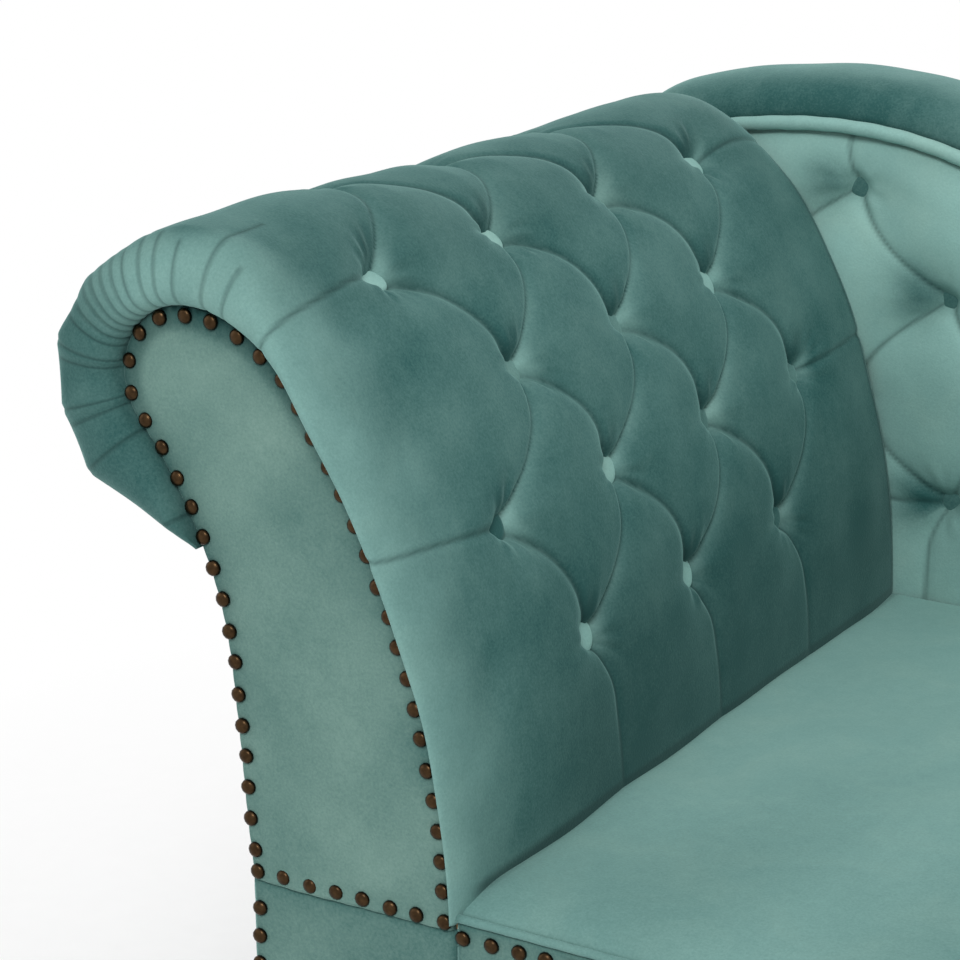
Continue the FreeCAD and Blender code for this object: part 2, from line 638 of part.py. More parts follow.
for name, share in zip(("head_cross_rail", "foot_cross_rail"), CROSS_RAIL_SHARES):
    rail(name, ("sizes.rail_thick", mm["rail_thick"]), (INNER_DEPTH, inner_depth), "sizes.cross_height",
         f"({HEAD_INNER} + {share} * {INNER_SPAN})", FRONT_INNER, f"({RAIL_BOTTOM} + sizes.cross_lift)")

# Webbing battens, the rear one notched round the posts
batten_span = foot_inner + mm["arm_start"]
BATTEN_SPAN = f"({FOOT_INNER} - {SEAT_HEAD})"
BATTEN_BOTTOM = f"({BATTEN_TOP} - sizes.batten_height)"
rail("front_batten", (BATTEN_SPAN, batten_span), ("sizes.batten_width", mm["batten_width"]),
     "sizes.batten_height", SEAT_HEAD, FRONT_INNER, BATTEN_BOTTOM)
side_depth = inner_depth - mm["batten_width"] - mm["rear_batten_width"]
SIDE_DEPTH = f"({INNER_DEPTH} - sizes.batten_width - sizes.rear_batten_width)"
for name, x in (("head_batten", SEAT_HEAD), ("foot_batten", f"({FOOT_INNER} - sizes.batten_width)")):
    rail(name, ("sizes.batten_width", mm["batten_width"]), (SIDE_DEPTH, side_depth), "sizes.batten_height",
         x, f"({FRONT_INNER} + sizes.batten_width)", f"({BATTEN_BOTTOM} + sizes.web_thick)")


def post_places():
    """Left sides of the back posts, from behind the arm to the low end of the back."""
    foot = crest_line(0)[2].x - mm["crest_board_height"] - mm["post_width"]
    return [head_inner + share * (foot - head_inner) for share in POST_SHARES]


post_foot = batten_top - 2 * mm["batten_height"]
post_lefts = post_places()
batten = box_at(Vector(-mm["arm_start"], rear_rail_front - mm["rear_batten_width"],
                       batten_top - mm["batten_height"]),
                Vector(foot_inner, rear_rail_front, batten_top))
for left in post_lefts:
    batten = batten.cut(box_at(Vector(left, post_front, post_foot - mm["overrun"]),
                               Vector(left + mm["post_width"], rear_rail_front + mm["overrun"],
                                      batten_top + mm["overrun"])))
shaped("rear_batten", batten)

# Corner blocks, legs and what joins them

def bolt_hole(owner, name, u, v, u_text, v_text):
    """A round pocket for a hanger bolt, up into the underside of a block."""
    sketch = sketch_on(owner, "XY_Plane", name + "_bolt_circle")
    sketch.addGeometry(Part.Circle(Vector(u, v, 0), Vector(0, 0, 1), mm["bolt_dia"] / 2), False)
    rule = sketch.addConstraint(Sketcher.Constraint("Radius", 0, mm["bolt_dia"] / 2))
    sketch.setExpression(f"Constraints[{rule}]", "sizes.bolt_dia / 2")
    for kind, number, text in (("DistanceX", u, u_text), ("DistanceY", v, v_text)):
        rule = sketch.addConstraint(Sketcher.Constraint(kind, -1, 1, 0, 3, number))
        sketch.setExpression(f"Constraints[{rule}]", text)
    pocket = owner.newObject("PartDesign::Pocket", name + "_bolt_hole")
    pocket.Profile = sketch
    pocket.Reversed = True
    pocket.setExpression("Length", "sizes.bolt_depth")
    return pocket


corners = (("head_front", HEAD_INNER, FRONT_INNER, 0, 1, 1),
           ("foot_front", FOOT_INNER, FRONT_INNER, 90, -1, 1),
           ("foot_rear", FOOT_INNER, REAR_RAIL_FRONT, 180, -1, -1),
           ("head_rear", HEAD_INNER, REAR_RAIL_FRONT, 270, 1, -1))
leg_centres = []
for name, x, y, turn, side_x, side_y in corners:
    leg_centres.append(Vector((mm["seat_length"] if side_x < 0 else head_outer) + side_x * mm["leg_inset"],
                              (cover_rear if side_y < 0 else 0) + side_y * mm["leg_inset"], 0))
    to_end = ((mm["leg_inset"] - mm["rail_thick"], "sizes.leg_inset - sizes.rail_thick") if side_x > 0 else
              (mm["leg_inset"] - front_inner, f"sizes.leg_inset - {FRONT_INNER}"))
    to_side = ((mm["leg_inset"] - front_inner, f"sizes.leg_inset - {FRONT_INNER}") if side_y > 0 else
               (mm["leg_inset"] - mm["cover_thick"] - mm["rear_rail_thick"],
                "sizes.leg_inset - sizes.cover_thick - sizes.rear_rail_thick"))
    along_u, along_v = (to_end, to_side) if turn in (0, 180) else (to_side, to_end)
    block = body(name + "_block")
    sketch = sketch_on(block, "XY_Plane", name + "_triangle")
    outline(sketch, [(0, 0, "0", "0"), (mm["block_side"], 0, "sizes.block_side", "0"),
                     (0, mm["block_side"], "0", "sizes.block_side")])
    pad = block.newObject("PartDesign::Pad", name + "_block_pad")
    pad.Profile = sketch
    pad.setExpression("Length", "sizes.block_height")
    bolt_hole(block, name + "_block", along_u[0], along_v[0], along_u[1], along_v[1])
    place(block, x, y, RAIL_BOTTOM)
    block.Placement.Rotation = Rotation(Vector(0, 0, 1), turn)


def turned(centre, heights, diameters, sides):
    """A turned piece on an upright axis, its rounds drawn with flat sides."""
    rings = []
    for height, diameter in zip(heights, diameters):
        turns = [2 * math.pi * (index + 0.5) / sides for index in range(sides)]
        rings.append([centre + Vector(diameter / 2 * math.cos(turn), diameter / 2 * math.sin(turn), height)
                      for turn in turns])
    faces = [facet(*rings[0]), facet(*rings[-1])]
    for ring, following in zip(rings, rings[1:]):
        for index in range(sides):
            after = (index + 1) % sides
            faces.append(facet(ring[index], ring[after], following[after], following[index]))
    return solid_of(faces)


def group(name, shapes):
    return shaped(name, Part.makeCompound(shapes))


leg_heights = [share * mm["leg_length"] for share in LEG_HEIGHT_SHARES]
leg_diameters = [mm[size] for size in LEG_DIAMETERS]
plate_low = rail_bottom - mm["plate_thick"]
bolts, plates, glides = [], [], []
for (name, *where), centre in zip(corners, leg_centres):
    low = centre + Vector(0, 0, plate_low)
    leg = turned(low - Vector(0, 0, mm["leg_length"]), leg_heights, leg_diameters, LEG_SIDES)
    shaped(name + "_leg", leg.cut(Part.makeCylinder(mm["bolt_dia"] / 2, mm["bolt_depth"] + mm["overrun"],
                                                    low - Vector(0, 0, mm["bolt_depth"]))))
    bolts.append(Part.makeCylinder(mm["bolt_dia"] / 2, 2 * mm["bolt_depth"] + mm["plate_thick"],
                                   low - Vector(0, 0, mm["bolt_depth"])))
    side = mm["plate_side"]
    plate = Part.makeBox(side, side, mm["plate_thick"], low - Vector(side / 2, side / 2, 0))
    plates.append(plate.cut(turned(low - Vector(0, 0, mm["overrun"]), (0, 2 * mm["overrun"]),
                                   (mm["plate_hole_dia"], mm["plate_hole_dia"]), PLATE_HOLE_SIDES)))
    glides.append(turned(low - Vector(0, 0, mm["leg_length"] + mm["glide_height"]), (0, mm["glide_height"]),
                         (mm["glide_dia"] * GLIDE_FOOT_SHARE, mm["glide_dia"]), LEG_SIDES))
group("hanger_bolts", bolts)
group("leg_plates", plates)
group("leg_glides", glides)

dust = box_at(Vector(head_outer, mm["cover_thick"], rail_bottom - mm["dust_thick"]),
              Vector(mm["seat_length"] - mm["cover_thick"], cover_front, rail_bottom))
dust_hole = mm["leg_top_dia"] + 2 * mm["dust_thick"]
for centre in leg_centres:
    dust = dust.cut(turned(centre + Vector(0, 0, rail_bottom - mm["overrun"]), (0, 2 * mm["overrun"]),
                           (dust_hole, dust_hole), LEG_SIDES))
shaped("dust_cover", dust)


# Seat

def strips(count, low, size, step):
    return [Part.makeBox(size.x, size.y, size.z, low + step * index) for index in range(count)]


web_span = foot_inner + mm["arm_start"]
web_front = front_inner + mm["fit_gap"]
cross_count = int(web_span / mm["web_pitch"])
cross_first = -mm["arm_start"] + (web_span - (cross_count - 1) * mm["web_pitch"] - mm["web_width"]) / 2
cross_depth = post_front - web_front - mm["fit_gap"]
group("crosswise_webbing", strips(cross_count, Vector(cross_first, web_front, batten_top),
                                  Vector(mm["web_width"], cross_depth, mm["web_thick"]),
                                  Vector(mm["web_pitch"], 0, 0)))
long_count = int(cross_depth / mm["web_pitch"])
long_first = web_front + (cross_depth - (long_count - 1) * mm["web_pitch"] - mm["web_width"]) / 2
group("lengthwise_webbing", strips(long_count, Vector(-mm["arm_start"] + mm["fit_gap"], long_first,
                                                      batten_top + mm["web_thick"]),
                                   Vector(web_span - 2 * mm["fit_gap"], mm["web_width"], mm["web_thick"]),
                                   Vector(0, mm["web_pitch"], 0)))
foam_low = batten_top + 2 * mm["web_thick"] + mm["fit_gap"]
shaped("seat_foam", box_at(Vector(mm["fit_gap"] - mm["arm_start"], web_front, foam_low),
                           Vector(foot_inner - mm["fit_gap"], post_front - mm["fit_gap"], rail_top)))


seat_inset = mm["cover_thick"] + mm["fit_gap"]
seat_low_x = mm["pad_face"] + mm["fit_gap"]
seat_high_x = mm["seat_length"] - seat_inset
seat_rear = mm["inside_depth"] - mm["back_pad_proud"] - mm["fit_gap"]
seat_far_rear = cover_rear - seat_inset
back_end = crest_line(mm["crest_roll_height"])[2].x + mm["fit_gap"]


def seat_top(x, y):
    """Height of the seat over a place: drawn in at its open edges and crowned between them."""
    edge = min(y - seat_inset, seat_high_x - x, seat_far_rear - y) / mm["seat_edge_round"]
    to_rear = max(seat_rear - y, min(x - back_end, seat_far_rear - y))
    crown = 1
    for away in (y - seat_inset, x - seat_low_x, seat_high_x - x, to_rear):
        crown *= math.sin(math.pi / 2 * min(1, away / mm["seat_crown_run"]))
    return (mm["seat_edge_rise"] * math.sin(math.pi / 2 * min(1, edge))
            + (mm["seat_crown"] - mm["seat_edge_rise"]) * crown)


def seat_stations(low, high):
    """Places between two ends, closer together at both."""
    near = [mm["seat_edge_round"] * share for share in SEAT_EDGE_SHARES]
    middle_low, middle_high = low + near[-1], high - near[-1]
    count = int((middle_high - middle_low) / mm["seat_station"]) + 1
    middle = [middle_low + (middle_high - middle_low) * index / count for index in range(1, count)]
    return [low + step for step in near] + middle + [high - step for step in reversed(near)]


def seat_cushion_shape():
    low = rail_top + mm["fit_gap"]
    head_xs, foot_xs = seat_stations(seat_low_x, back_end), seat_stations(back_end, seat_high_x)[1:]
    xs = head_xs + foot_xs
    front_ys = seat_stations(seat_inset, seat_rear)
    rear_ys = [seat_rear + (seat_far_rear - seat_rear) * share for share in SEAT_REAR_SHARES]
    step = len(head_xs) - 1

    def top(x, y):
        return Vector(x, y, seat_top(x, y))

    main = [[top(x, y) for y in front_ys] for x in xs]
    wing = [[top(x, y) for y in rear_ys] for x in xs[step:]]
    up = [Vector(0, 0, 1)] * len(xs)
    faces = skin(main, up) + skin(wing, up)
    rim = [row[0] for row in main] + main[-1][1:] + wing[-1][1:] + [row[-1] for row in reversed(wing[:-1])]
    rim += list(reversed(wing[0][:-1]))[:-1] + [row[-1] for row in reversed(main[:step + 1])]
    rim += list(reversed(main[0][1:-1]))
    floor = [Vector(point.x, point.y, low) for point in rim]
    for index in range(len(rim)):
        after = (index + 1) % len(rim)
        faces.append(facet(rim[index], rim[after], floor[after], floor[index]))
    faces.append(facet(*floor))
    return solid_of(faces)


shaped("seat_cushion", seat_cushion_shape())


def ring_profile(diameter):
    """Corners of a pipe's section."""
    turns = [2 * math.pi * index / PIPE_SIDES for index in range(PIPE_SIDES)]
    return [(diameter / 2 * math.cos(turn), diameter / 2 * math.sin(turn)) for turn in turns]


def swept(stations, profile):
    """Carry a section along stations of (point, side, up); the section is a list of (side, up)."""
    loops = [[point + side * across + up * high for across, high in profile] for point, side, up in stations]
    faces = []
    for loop, following in zip(loops, loops[1:]):
        for index in range(len(loop)):
            after = (index + 1) % len(loop)
            faces.append(facet(loop[index], loop[after], following[after]))
            faces.append(facet(loop[index], following[after], following[index]))
    faces += [facet(*loops[0]), facet(*loops[-1])]
    return solid_of(faces)


def samples(edge, backwards=False):
    """Points and tangents along one edge, close enough that straight facets stay near its curve."""
    first, last = edge.FirstParameter, edge.LastParameter
    turn = edge.tangentAt(first).getAngle(edge.tangentAt(last))
    count = max(1, math.ceil(math.sqrt(turn * edge.Length / (8 * mm["sweep_sag"]))))
    places = [first + (last - first) * index / count for index in range(count + 1)]
    found = [(edge.valueAt(share), edge.tangentAt(share)) for share in places]
    return found[::-1] if backwards else found


def welt_path():
    """The welt's middle line: along the front, round the foot and back to the low end of the back."""
    inset = mm["welt_inset"]
    turn = mm["welt_turn"]
    front, foot, rear = inset, mm["seat_length"] - inset, cover_rear - inset
    level = -mm["welt_drop"]
    bend = turn * (1 - math.sqrt(0.5))
    points = [Vector(mm["welt_dia"] / 2, front, level), Vector(foot - turn, front, level),
              Vector(foot - bend, front + bend, level), Vector(foot, front + turn, level),
              Vector(foot, rear - turn, level), Vector(foot - bend, rear - bend, level),
              Vector(foot - turn, rear, level), Vector(back_end, rear, level)]
    edges = [line(points[0], points[1]), Part.Arc(*points[1:4]).toShape(), line(points[3], points[4]),
             Part.Arc(*points[4:7]).toShape(), line(points[6], points[7])]
    return edges


def stations_of(edges):
    """Stations along level edges, each edge's first point left out after the first edge."""
    found = []
    for edge in edges:
        for point, tangent in samples(edge)[1 if found else 0:]:
            found.append((point, Vector(tangent.y, -tangent.x, 0), Vector(0, 0, 1)))
    return found


shaped("seat_welt", swept(stations_of(welt_path()), ring_profile(mm["welt_dia"])))

BORDER_TOP = "(-sizes.border_drop)"
BORDER_HEIGHT = f"({BORDER_TOP} - {RAIL_BOTTOM})"
plank("front_border", "sizes.seat_length", "sizes.cover_thick", BORDER_HEIGHT, "0", "0", RAIL_BOTTOM)
plank("foot_border", "sizes.cover_thick", f"{COVER_REAR} - sizes.cover_thick", BORDER_HEIGHT,
      "sizes.seat_length - sizes.cover_thick", "sizes.cover_thick", RAIL_BOTTOM)
plank("arm_base_panel", "sizes.arm_width + sizes.panel_margin", "sizes.cover_thick",
      f"-sizes.panel_seam_drop - {RAIL_BOTTOM}", "-sizes.arm_width - sizes.panel_margin", "0", RAIL_BOTTOM)


def stud(place_here, outwards, diameter, height, crown_share):
    """A low head with flat sides: a button or a nail, standing out from its place."""
    along_x = abs(outwards.x) >= abs(outwards.z) + abs(outwards.y)
    across = outwards.cross(Vector(0, 0, 1) if along_x else Vector(1, 0, 0))
    across.normalize()
    over = outwards.cross(across)
    rings = []
    for lift, share in ((0, 1), (height, crown_share)):
        turns = [2 * math.pi * index / STUD_SIDES for index in range(STUD_SIDES)]
        rings.append([place_here + outwards * lift + (across * math.cos(turn) + over * math.sin(turn))
                      * (diameter / 2 * share) for turn in turns])
    faces = [facet(*rings[0]), facet(*rings[1])]
    for index in range(STUD_SIDES):
        after = (index + 1) % STUD_SIDES
        faces.append(facet(rings[0][index], rings[0][after], rings[1][after], rings[1][index]))
    return solid_of(faces)


def settled(place_here, outwards, pad):
    """A button brought in along its axis until it just clears the pad under it."""
    lift = mm["button_lift"]
    for attempt in range(SETTLE_PASSES):
        button = stud(place_here + outwards * lift, outwards, mm["button_dia"], mm["button_height"],
                      BUTTON_CROWN_SHARE)
        lift -= button.distToShape(pad)[0] - mm["fit_gap"]
    return button


def nails(name, places, outwards):
    return group(name, [stud(point, outwards, mm["nail_dia"], mm["nail_height"], NAIL_CROWN_SHARE)
                        for point in places])


def row_of(first, last, pitch):
    """Places from one point towards another at the nearest pitch that divides the run evenly."""
    count = round((last - first).Length / pitch)
    return [first + (last - first) * index / count for index in range(count + 1)]


nail_level = -mm["seat_nail_drop"]
nails("front_nails", row_of(Vector(mm["nail_dia"] / 2, 0, nail_level),
                            Vector(mm["seat_length"] - mm["nail_dia"], 0, nail_level), mm["nail_pitch"]),
      Vector(0, -1, 0))
nails("foot_nails", row_of(Vector(mm["seat_length"], mm["nail_dia"], nail_level),
                           Vector(mm["seat_length"], cover_rear - mm["nail_dia"], nail_level),
                           mm["nail_pitch"]), Vector(1, 0, 0))


# Arm

def between(outer, inner):
    """Close two open runs of edges into one outline with a straight line at each end."""
    return outer + inner + [line(end_of(outer[0], False), end_of(inner[0], False)),
                            line(end_of(outer[-1], True), end_of(inner[-1], True))]


def board_outline(floor):
    """Outline of an arm board: the pad's seat inside and over the scroll, a rebate, then the outside."""
    inner = arm_scroll(-mm["board_inset"])[0]
    outer, foot = arm_outside(mm["board_outset"])
    first, last = end_of(inner[0], False), Vector(foot.x, 0, floor)
    edges = inner + [line(end_of(inner[-1], True), end_of(outer[0], False))] + outer + [line(foot, last)]
    shoulder = Vector(-mm["arm_start"], 0, first.z)
    low = Vector(shoulder.x, 0, floor)
    return edges + [line(last, low), line(low, shoulder), line(shoulder, first)]


board_back = mm["cover_thick"] + mm["arm_board_thick"]
rear_board_back = mm["inside_depth"] - mm["pad_end_gap"] - mm["fit_gap"]
rear_board_front = rear_board_back - mm["arm_board_thick"]
shaped("arm_front_board", extruded(board_outline(rail_bottom), mm["cover_thick"], board_back))
shaped("arm_rear_board", above(extruded(board_outline(rail_bottom), rear_board_front, rear_board_back),
                               rail_top))
lower_low = Vector(-mm["arm_start"] - mm["rail_thick"], front_inner, rail_top - mm["lower_rail_height"])
shaped("arm_lower_rail", box_at(lower_low, Vector(-mm["arm_start"], rear_rail_front, rail_top)))


scroll_centre = arm_scroll(0)[0][2].Curve.Center
shaped("arm_top_rail", Part.makeCylinder(mm["top_rail_dia"] / 2, rear_board_front - board_back,
                                         scroll_centre + Vector(0, board_back, 0), Vector(0, 1, 0)))
hollow_end = end_of(arm_outside(mm["board_outset"])[0][0], True)
shaped("arm_outer_rail", box_at(Vector(hollow_end.x + mm["fit_gap"], board_back, hollow_end.z),
                                Vector(hollow_end.x + mm["outer_rail_thick"], rear_board_front,
                                       hollow_end.z + mm["outer_rail_height"])))

foam_inset = -mm["board_inset"] - mm["arm_foam_thick"]
sheet_inset = foam_inset - mm["fit_gap"]
backing = between(arm_scroll(sheet_inset)[0], arm_scroll(sheet_inset - mm["backing_thick"])[0])
shaped("arm_backing", above(extruded(backing, board_back, rear_board_front), rail_top))
foam = extruded(between(arm_scroll(-mm["board_inset"])[0], arm_scroll(foam_inset)[0]),
                board_back + mm["fit_gap"], rear_board_front - mm["fit_gap"])
shaped("arm_foam", above(foam, rail_top + mm["fit_gap"]))


def panel_outline(offset):
    """Outline of the arm's front panel, grown out from its nails."""
    inner, outer = arm_scroll(offset)[0], arm_outside(offset)
    first = end_of(inner[0], False)
    heel = Vector(first.x, 0, outer[1].z)
    return inner + outer[0] + [line(outer[1], heel), line(heel, first)]


shaped("arm_front_panel", extruded(panel_outline(mm["panel_margin"]), 0, mm["cover_thick"]))
panel_room = extruded(panel_outline(mm["panel_margin"] + mm["fit_gap"]), -mm["overrun"],
                      mm["cover_thick"] + mm["fit_gap"])
arm_pad = arm_pad_shape().cut(panel_room)
shaped("arm_pad", arm_pad)

buttons = []
for row in range(ARM_ROW_COUNT):
    for column in range((row + 1) % 2, ARM_COLUMN_COUNT, 2):
        root, normal, thick, distance = arm_station(mm["row_first"] + row * mm["row_pitch"])
        share = min(1, thick / (2 * mm["pad_rim_drop"]))
        sunk = thick - mm["tuft_depth"] * share
        seat_of_button = root + Vector(0, mm["column_first"] + column * mm["column_step"], 0) + normal * sunk
        buttons.append(settled(seat_of_button, normal, arm_pad))
group("arm_buttons", buttons)

nail_line = arm_scroll(0)[0] + arm_outside(0)[0]
nail_count = round(sum(edge.Length for edge in nail_line) / mm["arm_nail_pitch"])
nail_step = sum(edge.Length for edge in nail_line) / nail_count
arm_nail_places = [along(nail_line, nail_step * index) for index in range(nail_count + 1)]
across_level = -mm["panel_nail_drop"]
arm_nail_places += row_of(Vector(-mm["arm_width"], 0, across_level),
                          Vector(-mm["arm_start"], 0, across_level), mm["arm_nail_pitch"])[1:-1]
arm_nail_places += row_of(Vector(-mm["arm_width"], 0, -mm["panel_seam_drop"]),
                          Vector(-mm["arm_width"], 0, rail_bottom + mm["nail_dia"]), mm["arm_nail_pitch"])[1:]
nails("arm_nails", arm_nail_places, Vector(0, -1, 0))


def cover_run(offset):
    """Outside of the arm from the neck down to the bottom of the rails."""
    edges, foot = arm_outside(offset)
    return edges + [line(foot, Vector(foot.x, 0, rail_bottom))]


cover_inner, cover_outer = cover_run(mm["board_outset"]), cover_run(mm["board_outset"] + mm["cover_thick"])
outside_cover = extruded(between(cover_outer, cover_inner), mm["cover_thick"], cover_rear)
crest_head_end = crest_line(0)[-1]
neck_inner, neck_outer = end_of(cover_inner[0], False), end_of(cover_outer[0], False)
neck_top = crest_head_end + (neck_inner - crest_head_end).normalize() * mm["cover_thick"]
neck_run = [neck_inner, neck_outer, neck_top + neck_outer - neck_inner, neck_top]
neck_cover = extruded([line(first, second) for first, second in zip(neck_run, neck_run[1:] + neck_run[:1])],
                      rear_board_back + mm["fit_gap"], cover_rear)
shaped("arm_outside_cover", outside_cover.fuse(neck_cover).removeSplitter())


# Back

def back_outline(offset, floor, foot_x=None):
    """Closed outline of the back inside its crest line, down to a floor level."""
    foot, head, foot_end, head_end = crest_line(offset)
    neck = end_of(arm_outside(mm["board_outset"])[0][0], False)
    run, arm_foot = arm_outside(mm["board_outset"])
    low = Vector(arm_foot.x, 0, floor)
    edges = foot + head + [line(head_end, neck)] + run + [line(arm_foot, low)]
    if foot_x is None:
        toe = Vector(foot_end.x, 0, floor)
        return edges + [line(low, toe), line(toe, foot_end)]
    toe, top = Vector(foot_x, 0, floor), Vector(foot_x, 0, foot_end.z)
    return edges + [line(low, toe), line(toe, top), line(top, foot_end)]


for name, left in zip(("head_back_post", "middle_back_post", "foot_back_post"), post_lefts):
    top = min(back_top(left), back_top(left + mm["post_width"])) - mm["crest_gap"]
    shaped(name, box_at(Vector(left, post_front, post_foot),
                        Vector(left + mm["post_width"], rear_rail_front, top)))

whole_board = extruded(back_outline(-2 * mm["fit_gap"], rail_bottom), rear_rail_front, cover_front)
hollow_board = whole_board.translated(Vector(0, 0, -mm["crest_board_height"]))
shaped("back_crest_board", above(whole_board.cut(hollow_board), rail_top))

pad_base = mm["inside_depth"] + mm["back_pad_thick"] - mm["back_pad_proud"]
foam_front = pad_base + mm["fit_gap"]
foam_back = foam_front + mm["back_foam_thick"]
inset = -mm["piping_dia"] / 2 - mm["fit_gap"]
low_soft = rail_top + mm["fit_gap"]
shaped("back_foam", above(extruded(back_outline(inset, rail_bottom), foam_front, foam_back), low_soft))
shaped("back_sheet", above(extruded(back_outline(inset, rail_bottom), foam_back,
                                    foam_back + mm["back_sheet_thick"]), low_soft))
back_pad = back_pad_shape()
shaped("back_pad", back_pad)


def crest_stations(offset, depth):
    """Stations along the crest line from the head end over the brow to the foot end."""
    foot, head, foot_end, head_end = crest_line(offset)
    found = []
    for edge in reversed(head):
        for point, tangent in samples(edge, True)[1 if found else 0:]:
            found.append((point, Vector(tangent.z, 0, -tangent.x)))
    for edge in foot:
        for point, tangent in samples(edge)[1:]:
            found.append((point, Vector(-tangent.z, 0, tangent.x)))
    return [(point + Vector(0, depth, 0), Vector(0, 1, 0), normal) for point, normal in found]


shaped("back_piping", swept(crest_stations(0, mm["inside_depth"] + mm["piping_inset"]),
                            ring_profile(mm["piping_dia"])))
roll_front = mm["inside_depth"] + mm["piping_inset"] + mm["piping_dia"] / 2 + mm["fit_gap"]
roll_profile_points = [(width * (cover_rear - roll_front), height * mm["crest_roll_height"] + mm["fit_gap"])
                       for width, height in zip(ROLL_WIDTH_SHARES, ROLL_HEIGHT_SHARES)]
shaped("crest_roll", swept(crest_stations(0, roll_front), roll_profile_points))

buttons = []
for column in range(BACK_COLUMN_COUNT):
    for row in range((column + 1) % 2, BACK_ROW_COUNT, 2):
        x = column * mm["back_column_step"] - mm["back_column_first"]
        z = mm["back_row_first"] + row * mm["back_row_pitch"]
        room = min(back_top(x - mm["button_dia"]), back_top(x + mm["button_dia"])) - z
        if room > 2 * mm["back_edge_round"]:
            sunk = pad_base - mm["back_pad_thick"] + mm["back_tuft_depth"]
            buttons.append(settled(Vector(x, sunk, z), Vector(0, -1, 0), back_pad))
group("back_buttons", buttons)
shaped("back_outside_cover", extruded(back_outline(0, rail_bottom, mm["seat_length"] - mm["cover_thick"]),
                                      cover_front, cover_rear))


# Checks and files

doc.recompute()
for item in doc.Objects:
    if "Invalid" in item.State or "Error" in item.State:
        raise RuntimeError(f"{item.Label} failed: {item.State}")
for piece in pieces:
    if piece.Shape.isNull() or not piece.Shape.isValid():
        raise RuntimeError(f"{piece.Label} has no valid shape")

os.makedirs("parts", exist_ok=True)
for piece in pieces:
    piece.Shape.exportStep(f"parts/{piece.Label}.step")
print(len(pieces), "nodes")
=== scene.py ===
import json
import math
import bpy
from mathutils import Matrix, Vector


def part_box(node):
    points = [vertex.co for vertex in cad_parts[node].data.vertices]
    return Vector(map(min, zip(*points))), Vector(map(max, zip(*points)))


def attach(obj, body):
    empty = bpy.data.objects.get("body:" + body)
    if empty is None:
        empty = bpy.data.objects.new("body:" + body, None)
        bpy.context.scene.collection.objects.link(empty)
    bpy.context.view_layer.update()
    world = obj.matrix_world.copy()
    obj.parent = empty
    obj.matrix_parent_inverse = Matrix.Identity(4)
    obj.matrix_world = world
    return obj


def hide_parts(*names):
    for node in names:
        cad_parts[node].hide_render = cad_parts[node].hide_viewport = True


bl_info = {
    "name": "Buttoned chaise longue",
    "version": (1, 0, 0),
    "blender": (4, 5, 0),
    "location": "View3D > Sidebar > Chaise",
    "description": "Dresses a scroll-armed, deep-buttoned chaise longue in velvet, nails and turned legs",
    "category": "Object",
}

import bmesh
import bpy
import numpy as np
from bpy.props import FloatProperty, FloatVectorProperty, IntProperty, PointerProperty
from mathutils import Vector

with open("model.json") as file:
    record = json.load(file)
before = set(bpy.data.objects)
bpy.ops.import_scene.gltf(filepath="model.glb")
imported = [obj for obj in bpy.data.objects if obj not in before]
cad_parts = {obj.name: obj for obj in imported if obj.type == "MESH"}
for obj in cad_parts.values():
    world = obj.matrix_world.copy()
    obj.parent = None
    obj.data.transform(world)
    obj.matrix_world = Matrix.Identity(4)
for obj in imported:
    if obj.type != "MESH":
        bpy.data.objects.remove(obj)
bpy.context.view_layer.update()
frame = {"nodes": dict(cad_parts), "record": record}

MM = 0.001
BODY = "root"
QUARTER = math.pi / 2

# The seat corner, where the arm's front panel, the seat and the front border meet, is the pieces' zero.
# From there x runs to the foot, y to the back and z up, all in millimetres.
BORDER_DROP = 4
border_low, border_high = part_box("front_border")
CORNER = np.array((border_low.x, border_low.y, border_high.z + BORDER_DROP * MM))


def extent(node):
    """Lowest and highest corner of a frame node in millimetres from the seat corner."""
    low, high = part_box(node)
    return (np.array(low) - CORNER) / MM, (np.array(high) - CORNER) / MM


SEAT_LENGTH = extent("front_border")[1][0]
RAIL_BOTTOM = extent("front_border")[0][2]
RAIL_TOP = extent("front_rail")[1][2]
COVER_REAR = extent("back_outside_cover")[1][1]
PAD_REAR = extent("arm_pad")[1][1]


def hex_colour(text):
    """An sRGB hex value as linear colour with alpha."""
    channels = [int(text[index:index + 2], 16) / 255 for index in (1, 3, 5)]
    return [c / 12.92 if c <= 0.04045 else ((c + 0.055) / 1.055) ** 2.4 for c in channels] + [1]


# Sizes and colours that a user would change

class ChaiseSizes(bpy.types.PropertyGroup):
    tuft_depth: FloatProperty(name="Tuft depth", description="Arm buttons below the crests, in millimetres",
                              default=17, min=4, max=22)
    back_tuft_depth: FloatProperty(name="Back tuft depth", default=17, min=4, max=22,
                                   description="Back buttons below the crests, in millimetres")
    fold_sway: FloatProperty(name="Fold sway", default=17, min=0, max=30,
                             description="How far the folds bow towards the back, in millimetres")
    button_size: FloatProperty(name="Button", description="Diameter of a covered button, in millimetres",
                               default=21, min=12, max=30)
    nail_size: FloatProperty(name="Nail", description="Diameter of a nail head, in millimetres",
                             default=9.5, min=6, max=14)
    skin_step: FloatProperty(name="Skin step", description="Spacing of the arm pad's mesh, in millimetres",
                             default=1.8, min=1.5, max=8)
    nail_rings: IntProperty(name="Nail rings", description="Rings of faces on a nail head",
                            default=4, min=2, max=8)


